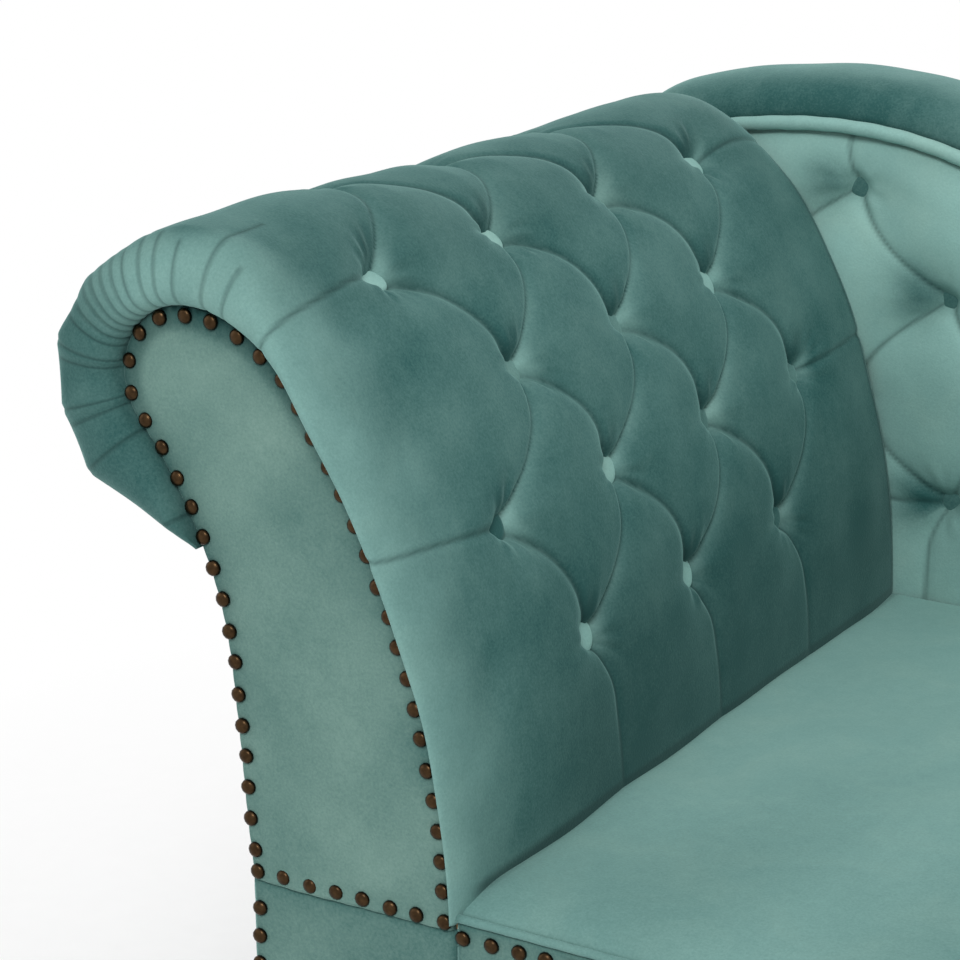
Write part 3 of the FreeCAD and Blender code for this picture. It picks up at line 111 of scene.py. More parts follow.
# The velvet's tone runs from the dark colour to the pale and sage ones; besides the pile's own lie, that tone
# also carries painted highlights and painted shade
class ChaiseColours(bpy.types.PropertyGroup):
    nap_dark: FloatVectorProperty(name="Velvet against the nap", subtype="COLOR",
                                  description="Velvet where its pile points away",
                                  size=3, default=hex_colour("#2c5654")[:3], min=0, max=1)
    nap_sage: FloatVectorProperty(name="Velvet pulled flat", subtype="COLOR",
                                  description="Velvet on the flat panels and borders",
                                  size=3, default=hex_colour("#a2bfb0")[:3], min=0, max=1)
    nap_pale: FloatVectorProperty(name="Velvet with the nap", subtype="COLOR",
                                  description="Velvet where its pile lies flat",
                                  size=3, default=hex_colour("#93bdb6")[:3], min=0, max=1)


def sizes():
    return bpy.context.scene.chaise_sizes


# Materials

# Inputs and output of a colour Mix node, which its names don't tell apart
SHARE, FIRST, SECOND, RESULT = 0, 6, 7, 2

# Velvet's own unevenness, each as (millimetres, detail, roughness, distortion, weight): brushed patches,
# streaks left by hands, and the pile's grain, which is a third of a millimetre in life and drawn coarser so
# that it shows
PILE_LAYERS = ((55, 3.0, 0.55, 0.6, 0.16), (9, 4.0, 0.6, 0.0, 0.12), (1.6, 2.0, 0.7, 0.0, 0.26))
PILE_LEVEL = -0.27
# Painted shadow colour, for creases, pits and the places where pieces meet
PILE_SHADOW = "#16302f"
# Radians that a Wave texture turns over one unit at scale 1
WAVE_TURN = 20


def add(tree, kind, sockets=None, out=None, **settings):
    """Add a node with its settings, set or link its inputs, and give it, or the output that is asked for."""
    node = tree.nodes.new(kind)
    for key, value in settings.items():
        setattr(node, key, value)
    for key, value in (sockets or {}).items():
        if isinstance(value, bpy.types.NodeSocket):
            tree.links.new(value, node.inputs[key])
        else:
            node.inputs[key].default_value = value
    return node if out is None else node.outputs[out]


def made_once(name, shade, kind="ShaderNodeBsdfPrincipled"):
    """The material of a name, built the first time, its last node fed with the inputs that shade gives."""
    material = bpy.data.materials.get(name)
    if material is None:
        material = bpy.data.materials.new(name)
        material.use_nodes = True
        tree = material.node_tree
        tree.nodes.clear()
        inputs = shade(tree, add(tree, "ShaderNodeTexCoord", out="Object"))
        add(tree, "ShaderNodeOutputMaterial", {"Surface": add(tree, kind, inputs, 0)})
    return material


def per_metre(size_mm):
    """Texture scale that gives features of a real size."""
    return 1 / (size_mm * MM)


def velvet():
    """Cut-pile polyester velvet, brushed one way: dark into the pile, pale along it, with a soft rim. Its
    tone between dark and pale also carries painted highlights and painted shade, and the fold attribute mixes
    in a painted shadow colour.
    """
    def shade(tree, place):
        nap, fold_painted_shade, flat = (add(tree, "ShaderNodeAttribute", out="Fac", attribute_name=name)
                                for name in ("nap", "fold", "sage"))
        layers = [add(tree, "ShaderNodeTexNoise", {
            "Vector": place, "Scale": per_metre(size), "Detail": detail, "Roughness": rough,
            "Distortion": warp}, "Fac") for size, detail, rough, warp, _ in PILE_LAYERS]
        patches, grain = layers[0], layers[-1]
        tone = PILE_LEVEL
        for layer, (*_, weight) in zip(layers, PILE_LAYERS):
            tone = add(tree, "ShaderNodeMath", {0: layer, 1: weight, 2: tone}, 0, operation="MULTIPLY_ADD")
        tone = add(tree, "ShaderNodeMath", {0: nap, 1: tone}, 0, operation="ADD", use_clamp=True)
        own = bpy.context.scene.chaise_colours
        dark, pale, sage = (list(colour) + [1] for colour in (own.nap_dark, own.nap_pale, own.nap_sage))
        warm = add(tree, "ShaderNodeMapRange", {"Value": patches, "From Min": 0.42, "From Max": 0.66,
                                                "To Max": 0.16}, "Result")
        flat = add(tree, "ShaderNodeMath", {0: flat, 1: warm}, 0, operation="MAXIMUM")
        light = add(tree, "ShaderNodeMix", {SHARE: flat, FIRST: pale, SECOND: sage}, RESULT,
                    data_type="RGBA")
        colour = add(tree, "ShaderNodeMix", {SHARE: tone, FIRST: dark, SECOND: light}, RESULT,
                     data_type="RGBA")
        # Painted shade: the fold attribute pulls the colour towards the shadow colour in creases, pits and
        # where pieces meet
        colour = add(tree, "ShaderNodeMix", {SHARE: fold_painted_shade, FIRST: colour,
                                             SECOND: hex_colour(PILE_SHADOW)}, RESULT, data_type="RGBA")
        bump = add(tree, "ShaderNodeBump", {"Height": grain, "Strength": 0.3, "Distance": 0.7 * MM}, "Normal")
        return {"Base Color": colour, "Roughness": 0.82, "Specular IOR Level": 0.12, "Sheen Weight": 0.42,
                "Sheen Roughness": 0.36, "Sheen Tint": hex_colour("#a9d8d2"), "Normal": bump}
    return made_once("cut_pile_velvet", shade)


def antique_nail():
    """Brass-plated steel, chemically darkened: bronze on the dome and near black at its rim, that dark rim
    partly its patina and partly painted shade.
    """
    def shade(tree, place):
        stain = add(tree, "ShaderNodeTexNoise", {"Vector": place, "Scale": per_metre(3.5), "Detail": 3.0},
                    "Fac")
        crown = add(tree, "ShaderNodeAttribute", out="Fac", attribute_name="crown")
        share = add(tree, "ShaderNodeMath", {0: stain, 1: crown}, 0, operation="MULTIPLY", use_clamp=True)
        # Painted shade: the head darkens towards its rim by its crown height, on top of its stained patina
        colour = add(tree, "ShaderNodeMix", {SHARE: share, FIRST: hex_colour("#17110c"),
                                             SECOND: hex_colour("#57432d")}, RESULT, data_type="RGBA")
        return {"Base Color": colour, "Metallic": 1.0, "Roughness": 0.32}
    return made_once("antiqued_brass", shade)


def grained_wood(name, dark, pale, roughness, coat, along, ring_mm=7.0):
    """Planed or turned timber: long grain lines stretched along one axis, with fine dark pores."""
    def shade(tree, place):
        stretch = [0.08 if axis == along else 1.0 for axis in range(3)]
        mapped = add(tree, "ShaderNodeMapping", {"Vector": place, "Scale": stretch}, 0)
        figure = add(tree, "ShaderNodeTexNoise", {
            "Vector": mapped, "Scale": per_metre(ring_mm), "Detail": 5.0, "Roughness": 0.62,
            "Distortion": 0.4}, "Fac")
        pores = add(tree, "ShaderNodeTexNoise", {"Vector": mapped, "Scale": per_metre(1.1), "Detail": 2.0},
                    "Fac")
        colour = add(tree, "ShaderNodeMix", {SHARE: figure, FIRST: hex_colour(dark),
                                             SECOND: hex_colour(pale)}, RESULT, data_type="RGBA")
        faint = add(tree, "ShaderNodeMath", {0: pores, 1: 0.25}, 0, operation="MULTIPLY")
        colour = add(tree, "ShaderNodeMix", {SHARE: faint, FIRST: colour, SECOND: hex_colour(dark)}, RESULT,
                     data_type="RGBA")
        bump = add(tree, "ShaderNodeBump", {"Height": pores, "Strength": 0.12, "Distance": 0.3 * MM},
                   "Normal")
        return {"Base Color": colour, "Roughness": roughness, "Coat Weight": coat, "Coat Roughness": 0.22,
                "Normal": bump}
    return made_once(name, shade)


def plain_cloth(name, dark, pale, thread_mm):
    """Coarse flat-woven or bonded cloth, with its threads as a checked pattern."""
    def shade(tree, place):
        warp, weft = (add(tree, "ShaderNodeTexWave", {
            "Vector": place, "Scale": per_metre(thread_mm) / WAVE_TURN, "Distortion": 0.6}, "Fac",
            bands_direction=way) for way in "XY")
        weave = add(tree, "ShaderNodeMath", {0: warp, 1: weft}, 0, operation="MULTIPLY")
        colour = add(tree, "ShaderNodeMix", {SHARE: weave, FIRST: hex_colour(dark),
                                             SECOND: hex_colour(pale)}, RESULT, data_type="RGBA")
        bump = add(tree, "ShaderNodeBump", {"Height": weave, "Strength": 0.4, "Distance": 0.5 * MM},
                   "Normal")
        return {"Base Color": colour, "Roughness": 0.9, "Normal": bump}
    return made_once(name, shade)


def open_foam():
    """Open-cell polyurethane foam, cream, with its cells as fine pits."""
    def shade(tree, place):
        cells = add(tree, "ShaderNodeTexVoronoi", {"Vector": place, "Scale": per_metre(1.5)}, "Distance")
        colour = add(tree, "ShaderNodeMix", {SHARE: cells, FIRST: hex_colour("#b9a56c"),
                                             SECOND: hex_colour("#efe3b4")}, RESULT, data_type="RGBA")
        bump = add(tree, "ShaderNodeBump", {"Height": cells, "Strength": 0.5, "Distance": 0.6 * MM},
                   "Normal")
        return {"Base Color": colour, "Roughness": 0.95, "Normal": bump}
    return made_once("open_cell_foam", shade)


def zinc_steel():
    """Zinc-plated mild steel: pale grey with a faint spangle."""
    def shade(tree, place):
        spangle = add(tree, "ShaderNodeTexVoronoi", {"Vector": place, "Scale": per_metre(4)}, "Distance")
        colour = add(tree, "ShaderNodeMix", {SHARE: spangle, FIRST: hex_colour("#8f9294"),
                                             SECOND: hex_colour("#b9bcbd")}, RESULT, data_type="RGBA")
        return {"Base Color": colour, "Metallic": 1.0, "Roughness": 0.42}
    return made_once("zinc_plated_steel", shade)


def moulded_glide():
    """Injection-moulded polyethylene, dark and faintly rough."""
    def shade(tree, place):
        texture = add(tree, "ShaderNodeTexNoise", {"Vector": place, "Scale": per_metre(0.8)}, "Fac")
        bump = add(tree, "ShaderNodeBump", {"Height": texture, "Strength": 0.2, "Distance": 0.2 * MM},
                   "Normal")
        colour = add(tree, "ShaderNodeMix", {SHARE: texture, FIRST: hex_colour("#15120f"),
                                             SECOND: hex_colour("#262019")}, RESULT, data_type="RGBA")
        return {"Base Color": colour, "Roughness": 0.55, "Normal": bump}
    return made_once("moulded_polyethylene", shade)


# What each of the record's slots is made of: planed beech runs its grain along x, birch ply along y, and the
# stained rubberwood of the legs along z. Slots that aren't here are velvet.
FINISHES = {"antique_nail": (antique_nail,), "foam": (open_foam,), "zinc_steel": (zinc_steel,),
            "glide_plastic": (moulded_glide,),
            "frame_beech": (grained_wood, "planed_beech", "#a8794c", "#d3ab7c", 0.6, 0.0, 0),
            "bent_ply": (grained_wood, "thin_birch_ply", "#b58d5c", "#dcc096", 0.65, 0.0, 1),
            "turned_leg_wood": (grained_wood, "stained_rubberwood", "#1d0f09", "#4a2a1a", 0.38, 0.5, 2, 9.0),
            "jute_webbing": (plain_cloth, "woven_jute", "#6b5230", "#a58452", 3.0),
            "dust_cloth": (plain_cloth, "bonded_dust_cloth", "#0c0c0c", "#1c1c1c", 2.0)}


def finish(slot):
    make, *values = FINISHES.get(slot, (velvet,))
    return make(*values)


# Mesh helpers

def noise_of(seed, count, low_mm, high_mm):
    """A smooth random height over two coordinates, as a function, from a fixed set of waves."""
    random = np.random.default_rng(seed)
    turns = random.uniform(0, 2 * math.pi, count)
    waves = 2 * math.pi / random.uniform(low_mm, high_mm, count)
    starts = random.uniform(0, 2 * math.pi, count)

    def height(across, up):
        total = 0
        for turn, wave, start in zip(turns, waves, starts):
            total = total + np.sin((across * math.cos(turn) + up * math.sin(turn)) * wave + start)
        return total / math.sqrt(count / 2)

    return height


def smooth_step(value, low, high):
    share = np.clip((value - low) / (high - low), 0, 1)
    return share * share * (3 - 2 * share)


def eased(value, width):
    """0 at 0, rising like a sine to 1 at a width."""
    return np.sin(QUARTER * np.clip(value / width, 0, 1))


def spot(value, width):
    """1 at 0, fading to either side like a bell."""
    return np.exp(-(value / width) ** 2)


def softened(grid):
    """A grid of heights with its sharpest steps eased over the next cells."""
    for axis in (0, 1):
        edges = [(1, 1) if axis == side else (0, 0) for side in (0, 1)]
        wide = np.pad(grid, edges, mode="edge")
        parts = [np.take(wide, range(shift, shift + grid.shape[axis]), axis=axis) for shift in (0, 1, 2)]
        grid = 0.25 * parts[0] + 0.5 * parts[1] + 0.25 * parts[2]
    return grid


def stacked(*parts):
    """Coordinates, numbers or arrays, side by side as the last axis of one array."""
    return np.stack(np.broadcast_arrays(*parts), axis=-1)


def run_of(points):
    """Distance along a line of points, from its first."""
    return np.concatenate([[0], np.cumsum(np.linalg.norm(np.diff(points, axis=0), axis=1))])


def places_on(line, run, at):
    """Places on a line at distances along it."""
    return stacked(np.interp(at, run, line[:, 0]), np.interp(at, run, line[:, 1]))


def round_turns(sides):
    return np.linspace(0, 2 * math.pi, sides, endpoint=False)


def tube_faces(stations, ring):
    """Quads between closed rings of points."""
    index = np.arange(stations * ring).reshape(stations, ring)
    after = np.roll(index, -1, axis=1)
    return np.stack([index[:-1], after[:-1], after[1:], index[1:]], axis=-1).reshape(-1, 4).tolist()


def closed_faces(stations, ring):
    """Faces of a tube of rings, with one over each end."""
    ends = [list(range(ring))[::-1], list(range((stations - 1) * ring, stations * ring))]
    return tube_faces(stations, ring) + ends


def set_values(mesh, key, values):
    """Give a mesh's points a value each, or one for all."""
    attribute = mesh.attributes.get(key) or mesh.attributes.new(key, "FLOAT", "POINT")
    values = np.broadcast_to(np.asarray(values, dtype=np.float32).ravel(), len(mesh.vertices))
    attribute.data.foreach_set("value", np.ascontiguousarray(values))


def placed_object(name, data):
    item = bpy.data.objects.new(name, data)
    bpy.context.scene.collection.objects.link(item)
    return item


def point_outwards(mesh):
    work = bmesh.new()
    work.from_mesh(mesh)
    bmesh.ops.recalc_face_normals(work, faces=work.faces)
    work.to_mesh(mesh)
    work.free()
    mesh.update()


def settle(name, mesh, nodes):
    """Set a finished mesh on the frame as a piece and the nodes it stands for."""
    piece = placed_object(name, mesh)
    point_outwards(mesh)
    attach(piece, BODY)
    if nodes:
        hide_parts(*nodes)
    return piece


def new_piece(name, points, faces, slot, nodes=(), padded=None, **tones):
    """A piece from points in millimetres and faces, in its slot's finish, with the tones of its velvet."""
    mesh = bpy.data.meshes.new(name)
    mesh.from_pydata((np.asarray(points) * MM + CORNER).tolist(), [], faces)
    for key, values in tones.items():
        set_values(mesh, key, values)
    mesh.polygons.foreach_set("use_smooth", [True] * len(mesh.polygons))
    mesh.materials.append(finish(slot))
    return settle(name, mesh, nodes)


def ring_solid(name, rings, slot, nodes=(), padded=None, **tones):
    """A closed piece from an array of rings, shaped (stations, ring, 3)."""
    return new_piece(name, rings.reshape(-1, 3), closed_faces(*rings.shape[:2]), slot, nodes, padded, **tones)


def plate(name, front, back, slot, nodes, nap, dark=0.0, sage=0.0, padded=0.9):
    """A closed plate from a grid of front points and the same grid of back points, with the front's tones."""
    count_u, count_v = front.shape[:2]
    size = count_u * count_v
    index = np.arange(size).reshape(count_u, count_v)
    faces = np.stack([index[:-1, :-1], index[:-1, 1:], index[1:, 1:], index[1:, :-1]], axis=-1).reshape(-1, 4)
    rim = np.concatenate([index[0, :-1], index[:-1, -1], index[-1, :0:-1], index[:0:-1, 0]])
    after = np.roll(rim, -1)
    walls = np.stack([after, rim, rim + size, after + size], axis=-1)
    # dark is painted shade, kept in the fold attribute on the front only
    nap, dark = (np.broadcast_to(part, (count_u, count_v)).ravel() for part in (nap, dark))
    return new_piece(name, np.concatenate([front.reshape(-1, 3), back.reshape(-1, 3)]),
                     faces.tolist() + (faces[:, ::-1] + size).tolist() + walls.tolist(), slot, nodes, padded,
                     nap=np.concatenate([nap, nap]), fold=np.concatenate([dark, 0 * dark]), sage=sage)


def edge_fall(distance, corner_mm, deep):
    """How far a padded plate is drawn back near its edges, from the distance to the nearest."""
    share = np.clip(distance / corner_mm, 0, 1)
    return deep * (1 - np.sqrt(np.maximum(0, 1 - (1 - share) ** 2)))


# Lines of the arm and the back, repeated from the frame's own sizes

ARM_RADII = (531, 86, 38, 264)
ARM_TURNS = (32.6, 56.6, 128.4, -17.0)
ARM_LAST_TURN = -18.7
ARM_HEADING = 92.0
ARM_START = 7
ARM_WIDTH = 131
ARM_NECK = (-163.2, 185.3)
PANEL_MARGIN = 5
PANEL_SEAM = -10
PAD_BASE = -8.1
PAD_FACE = 4
PAD_SWEEP, PAD_SWEEP_RISE = 520, 10
ROLL_RADIUS, ROLL_CENTRE = 77, -165
HANG_RADIUS, HANG_REACH, HANG_HEIGHT = 52, -274, 262
PAD_END = (-161.35, 186.1)
FIT_GAP = 0.3
CREST_BROW = (-60, 336)
CREST_HEAD = ((444, 16.0), (50, 112.0))
CREST_FOOT = ((320, -28.0), (1900, 24.0), (85, -86.0))
CREST_ROLL_HEIGHT = 33


def trace(start, heading, steps, pitch):
    """Follow lines (length, 0) and arcs (radius, turn); give points, headings in radians and distances."""
    points, headings = [np.array(start, float)], [math.radians(heading)]
    for size, turn in steps:
        length = size if turn == 0 else size * math.radians(abs(turn))
        count = max(2, math.ceil(length / pitch))
        step, bend = length / count, math.radians(turn) / count
        chord = step if turn == 0 else 2 * size * math.sin(abs(bend) / 2)
        for _ in range(count):
            middle = headings[-1] + bend / 2
            points.append(points[-1] + chord * np.array((math.cos(middle), math.sin(middle))))
            headings.append(headings[-1] + bend)
    points = np.array(points)
    return points, np.array(headings), run_of(points)


def arm_line(offset, pitch=2.0):
    """Nail line of the arm grown out by an offset: inner side, scroll and hollow down to the panel's seam."""
    turned = math.radians(ARM_HEADING)
    start = np.array((-ARM_START, RAIL_TOP)) + offset * np.array((math.sin(turned), -math.cos(turned)))
    steps = [(radius + (offset if turn > 0 else -offset), turn) for radius, turn in zip(ARM_RADII, ARM_TURNS)]
    steps.append((ARM_RADII[-1] - offset, ARM_LAST_TURN))
    points, headings, _ = trace(start, ARM_HEADING, steps, pitch)
    foot = np.array((-ARM_WIDTH - offset, PANEL_SEAM))
    count = max(2, int(np.linalg.norm(foot - points[-1]) / pitch))
    tail = points[-1] + (foot - points[-1]) * np.linspace(0, 1, count + 1)[1:, None]
    heading = math.atan2(*(foot - points[-1])[::-1])
    points = np.vstack([points, tail])
    return points, np.concatenate([headings, np.full(count, heading)]), run_of(points)


def bearing(first, second):
    return math.degrees(math.atan2(second[1] - first[1], second[0] - first[0])) % 360


def roll_line(pitch=0.5):
    """Crests of the arm pad from its foot at the seat over the roll to the hollow outside."""
    centre = np.array((PAD_FACE - PAD_SWEEP, float(PAD_SWEEP_RISE)))
    across = ROLL_CENTRE - centre[0]
    roll = np.array((ROLL_CENTRE, centre[1] + math.sqrt((PAD_SWEEP - ROLL_RADIUS) ** 2 - across ** 2)))
    outer = np.array((HANG_RADIUS + HANG_REACH, float(HANG_HEIGHT)))
    narrower = ROLL_RADIUS - HANG_RADIUS
    apart, down = np.linalg.norm(outer - roll), np.linalg.norm(np.array(PAD_END) - outer)
    turn_1 = bearing(centre, roll)
    turn_2 = bearing(roll, outer) - math.degrees(math.acos(narrower / apart))
    turn_3 = bearing(outer, PAD_END) - math.degrees(math.acos(HANG_RADIUS / down))
    foot = RAIL_TOP + FIT_GAP
    steps = [(PAD_SWEEP_RISE - RAIL_TOP - FIT_GAP, 0), (PAD_SWEEP, turn_1), (ROLL_RADIUS, turn_2 - turn_1),
             (math.sqrt(apart ** 2 - narrower ** 2), 0), (HANG_RADIUS, turn_3 - turn_2),
             (math.sqrt(down ** 2 - HANG_RADIUS ** 2), 0)]
    return trace((PAD_FACE, foot), 90, steps, pitch)


def crest_line(offset=0, pitch=6.0):
    """Piping line from the head end over the brow to the low foot end, with outward normals."""
    brow = np.array((CREST_BROW[0], CREST_BROW[1] + offset))
    head, head_way, _ = trace(brow, 180, [(radius + offset, turn) for radius, turn in CREST_HEAD], pitch)
    foot, foot_way, _ = trace(brow, 0, [(radius + (offset if turn < 0 else -offset), turn)
                                        for radius, turn in CREST_FOOT], pitch)
    head_out = stacked(np.sin(head_way), -np.cos(head_way))
    foot_out = stacked(-np.sin(foot_way), np.cos(foot_way))
    return np.vstack([head[::-1], foot[1:]]), np.vstack([head_out[::-1], foot_out[1:]])


def piping_height(x, offset=0):
    """Height of the piping line over x, above the scroll of its head end."""
    points, _ = crest_line(offset, 1.0)
    upper = points[int(np.argmin(points[:, 0])):]
    return np.interp(x, upper[:, 0], upper[:, 1])


def neck_line(pitch):
    """Line of the arm's outside cover from the neck under its roll to the panel's seam, with headings."""
    line, headings, _ = arm_line(2, pitch)
    start = int(np.argmin(np.linalg.norm(line - np.array(ARM_NECK), axis=1)))
    return line[start:], headings[start:]


# Deep buttoning: folds run between buttons, and each tuft hangs over the ones below it

PUCKER_DEEP, PUCKER_AT, PUCKER_WIDE = 1.05, 17, 8
PIT_FLOOR = 0.35


def fold(first, second, deep_first, deep_second, middle=None, over=6.0, under=18.0, low_end=0):
    """A fold from one place to another, with its depth at both ends and in the middle.

    Its left side hangs over, and its sides are so many millimetres wide. low_end says which end lies lower.
    """
    middle = (deep_first + deep_second) / 2 if middle is None else middle
    return *first, *second, deep_first, deep_second, middle, over, under, low_end


def fold_depth(across, up, folds):
    """Depth of the folds, the distance to the nearest, and where their sides catch light or lie in shade."""
    total, bright, shade = (np.zeros_like(across) for _ in range(3))
    nearest = np.full_like(across, np.inf)
    for x0, y0, x1, y1, deep_0, deep_1, middle, over, under, low_end in folds:
        run_x, run_y = x1 - x0, y1 - y0
        share = ((across - x0) * run_x + (up - y0) * run_y) / math.hypot(run_x, run_y) ** 2
        share = np.clip(share, 0, 1)
        away = np.hypot(across - x0 - share * run_x, up - y0 - share * run_y)
        nearest = np.minimum(nearest, away)
        left = (up - y0) * run_x > (across - x0) * run_y
        # A fold is deep and wide at its buttons, and shallow and tight half-way
        ends = np.abs(2 * share - 1) ** 1.5
        deep = middle + (np.where(share < 0.5, deep_0, deep_1) - middle) * ends
        width = np.where(left, over, under) * (0.6 + 0.6 * ends)
        total += (deep * (1 - np.clip(away / width, 0, 1)) ** 2.4) ** 4
        if low_end:
            low = share if low_end == 2 else 1 - share
            if low_end == 1:
                lit = np.exp(-away / 9) * low ** 2
            else:
                lit = 0.55 * np.exp(-away / 4) * (1 - low) ** 0.7
            bright = np.maximum(bright, np.where(left, 0, lit))
            shade = np.maximum(shade, np.where(left, np.exp(-away / 13) * low ** 2.5, 0))
    return total ** 0.25, nearest, bright, shade


def pit_depth(across, up, buttons, reach, deep, pit, pit_deep, seed):
    """Dimples that reach and sink so far round buttons, each with a tight pit and short puckers."""
    random = np.random.default_rng(seed)
    total = np.zeros_like(across)
    for x, y in buttons:
        away, turn = np.hypot(across - x, up - y), np.arctan2(up - y, across - x)
        spokes, start = random.integers(9, 14), random.uniform(0, 2 * math.pi)
        uneven = 0.55 + 0.45 * np.sin(turn * 2 + start * 3)
        pucker = np.sin(turn * spokes + start) * PUCKER_DEEP * uneven * spot(away - PUCKER_AT, PUCKER_WIDE)
        total += (deep * (1 - eased(away, reach)) + pit_deep * (1 - smooth_step(away, pit * PIT_FLOOR, pit))
                  + pucker)
    return total


# The arm's lattice: rows are distances along the pad from the seat over the roll, columns are depths from
# the front, and each row is pulled forward at its two ends. In the top row folds cross, without buttons.
ARM_ROWS = (113, 199, 279, 363, 447)
HALF_ROW = 43
ROW_PULLS = ((14, 0), (9, 0), (0, 0), (20, 3), (44, 44))
COLUMN_FIRST, COLUMN_STEP, LAST_COLUMN = 118, 63, 6
TOP_ROW = len(ARM_ROWS) - 1
ARM_CROSSINGS = [(column, row) for row in range(len(ARM_ROWS))
                 for column in range((row + 1) % 2, LAST_COLUMN + 1, 2)]
ARM_BUTTONS = [(column, row) for column, row in ARM_CROSSINGS if row < TOP_ROW]
# Arm buttons are pale, partly their pile and partly painted highlight; these lie in shade in their pits and
# get darker tones as painted shade
BUTTON_TONE = 0.82
SHADED_BUTTONS = {(4, 3): 0.34, (1, 2): 0.40, (3, 2): 0.34, (0, 1): 0.0, (4, 1): 0.16, (6, 1): 0.30,
                (5, 0): 0.06}
# Gathers round the front as (distance along the pad, how far they reach back, depth)
FRONT_GATHERS = ((388, 8, 0.8), (407, 50, 2.4), (430, 8, 0.8), (446, 14, 0.9), (459, 54, 2.6),
                 (472, 22, 1.3), (482, 34, 1.6), (491, 26, 1.5), (500, 44, 2.0), (508, 150, 1.4),
                 (518, 40, 1.8), (528, 24, 1.2), (550, 190, 2.8), (560, 12, 1.0), (597, 190, 2.6),
                 (608, 10, 0.9), (641, 190, 2.8), (700, 16, 1.0))
# Under the roll the velvet sags between these gathers, and the roll is fuller or leaner along the pad
TAUT_LINES = (508, 550, 597, 641, 727)
TAUT_SAGS = (1.0, 4.4, 4.2, 0.5)
FULL_PLACES = (340, 400, 440, 476, 508, 550, 597, 641, 690, 727)
FULL_RISES = (0, 7, 9, 8, 12, 3, -6.5, 5.5, 8, 8)


def sway(distance):
    """How far the folds of the arm bow towards the back, at a distance along the pad."""
    row = np.interp(distance, ARM_ROWS, range(len(ARM_ROWS)))
    below = eased(ARM_ROWS[0] - distance, HALF_ROW)
    return sizes().fold_sway * np.where(distance < ARM_ROWS[0], below, np.abs(np.sin(math.pi * row)))


def arm_place(column, row):
    pull = np.interp(column, (0, LAST_COLUMN), ROW_PULLS[row])
    return COLUMN_FIRST + COLUMN_STEP * column - pull, ARM_ROWS[row]


def arm_folds():
    """Folds of the arm pad over (depth from the front, distance along the pad), before they sway."""
    folds = []
    for column, row in ARM_CROSSINGS:
        place = arm_place(column, row)
        deep, high = (7.5, 7.5) if row < TOP_ROW - 1 else (6.5, 3.5)
        if (column - 1, row + 1) in ARM_CROSSINGS:
            folds.append(fold(arm_place(column - 1, row + 1), place, high, deep, middle=2.6, low_end=2))
        if (column + 1, row + 1) in ARM_CROSSINGS:
            folds.append(fold(place, arm_place(column + 1, row + 1), deep, high, middle=2.6, low_end=1))
        if row == 0:
            folds.append(fold((place[0], -20), place, 0.8, 5.0, middle=1.4, over=6, under=12))
        if row == TOP_ROW:
            folds.append(fold(place, (place[0] - 75, 600), 3.5, 1.6, over=8, under=22))
    return folds


def straight_folds():
    """Seams that leave the lattice: to the front edge, to the back, and the gathers round the front."""
    folds = []
    for row, front_rise, back_rise in ((1, 19, 6), (3, -15, -4)):
        near, far = arm_place(0, row), arm_place(LAST_COLUMN, row)
        folds.append(fold((-60, near[1] + front_rise), near, 1.6, 5.5, middle=1.2, over=3, under=7))
        folds.append(fold(far, (620, far[1] + back_rise), 5.5, 2.5, middle=1.8, over=4, under=10))
    for distance, reach, deep in FRONT_GATHERS:
        folds.append(fold((-70, distance), (reach - 10, distance + 2), deep, 0.0, middle=deep * 0.8,
                          over=3.2, under=4.2))
    return folds


def taut_fall(depth, distance):
    """Flats between the gathers on the roll's outer side, where the velvet is pulled straight."""
    total = 0
    for low, high, sag in zip(TAUT_LINES[:-1], TAUT_LINES[1:], TAUT_SAGS):
        share = np.clip((distance - low) / (high - low), 0, 1)
        total = total + sag * 4 * share * (1 - share)
    return total * (1 - smooth_step(depth, 90, 260))


def arm_fall(depth, distance, shares):
    """How far the arm's velvet lies below its crests, and how its pile catches the light there."""
    deep = sizes().tuft_depth
    swayed = depth - sway(distance)
    buttons = [arm_place(*node) for node in ARM_BUTTONS]
    upper = [place for place in buttons if place[1] == ARM_ROWS[TOP_ROW - 1]]
    crossings = [arm_place(*node) for node in ARM_CROSSINGS if node[1] == TOP_ROW]
    lattice, near_fold, bright, shade = fold_depth(swayed, distance, arm_folds())
    straight, near_seam, _, _ = fold_depth(depth, distance, straight_folds())
    pits = pit_depth(swayed, distance, buttons, 44, deep * 0.34, pit=14, pit_deep=deep * 0.2, seed=11)
    pits += pit_depth(swayed, distance, crossings, 36, 3.0, pit=10, pit_deep=0.5, seed=12)
    pits += pit_depth(swayed, distance, upper, 40, 4.0, pit=10, pit_deep=0.0, seed=13)
    inside = smooth_step(depth, *TUFTS_BEGIN) * smooth_step(PAD_REAR - depth, -10, 60)
    dome = deep * 0.2 * (1 - eased(near_fold, 46)) * inside
    ripple = noise_of(5, 14, 45, 160)(depth, distance) * 0.5
    fall = (lattice ** 4 + straight ** 4) ** 0.25 + pits + dome + ripple + taut_fall(depth, distance)
    return softened(fall * shares), (near_fold, near_seam, bright, shade)


def raised(line, out, height, y):
    """Points over places (x, z), out from them by a height, at places in y."""
    return stacked(line[..., 0] + out[..., 0] * height, y, line[..., 1] + out[..., 1] * height)


# Stretches along the arm pad, from the seat over the roll to its neck, and across it from front to rear
ON_ROLL, OVERHANG, REAR_SINKS = (290, 400), (110, 300), (300, 400)
UNDERSIDE = 620
OUTER_SIDE, BAND_NARROWS = (455, 545), (300, 440)
LOW_ARM, LOW_DEPTH = (30, 240), (44, 180)
TOP_BEGINS, TOP_ENDS = (320, 380), (450, 510)
TUFTS_BEGIN = (20, 118)
# The arm pad's front: a soft rim that runs back this far, falls to its nose and turns in behind the panel
RIM_BACK, RIM_CALM = 34, TUFTS_BEGIN[1]
RIM_RINGS, TUCK_RINGS = 20, 7
REAR_CALM = 62
FULL_THICKNESS = 26
PANEL_THICK = 5
PANEL_BACK = PANEL_THICK + FIT_GAP
HIDDEN_POINTS = 3


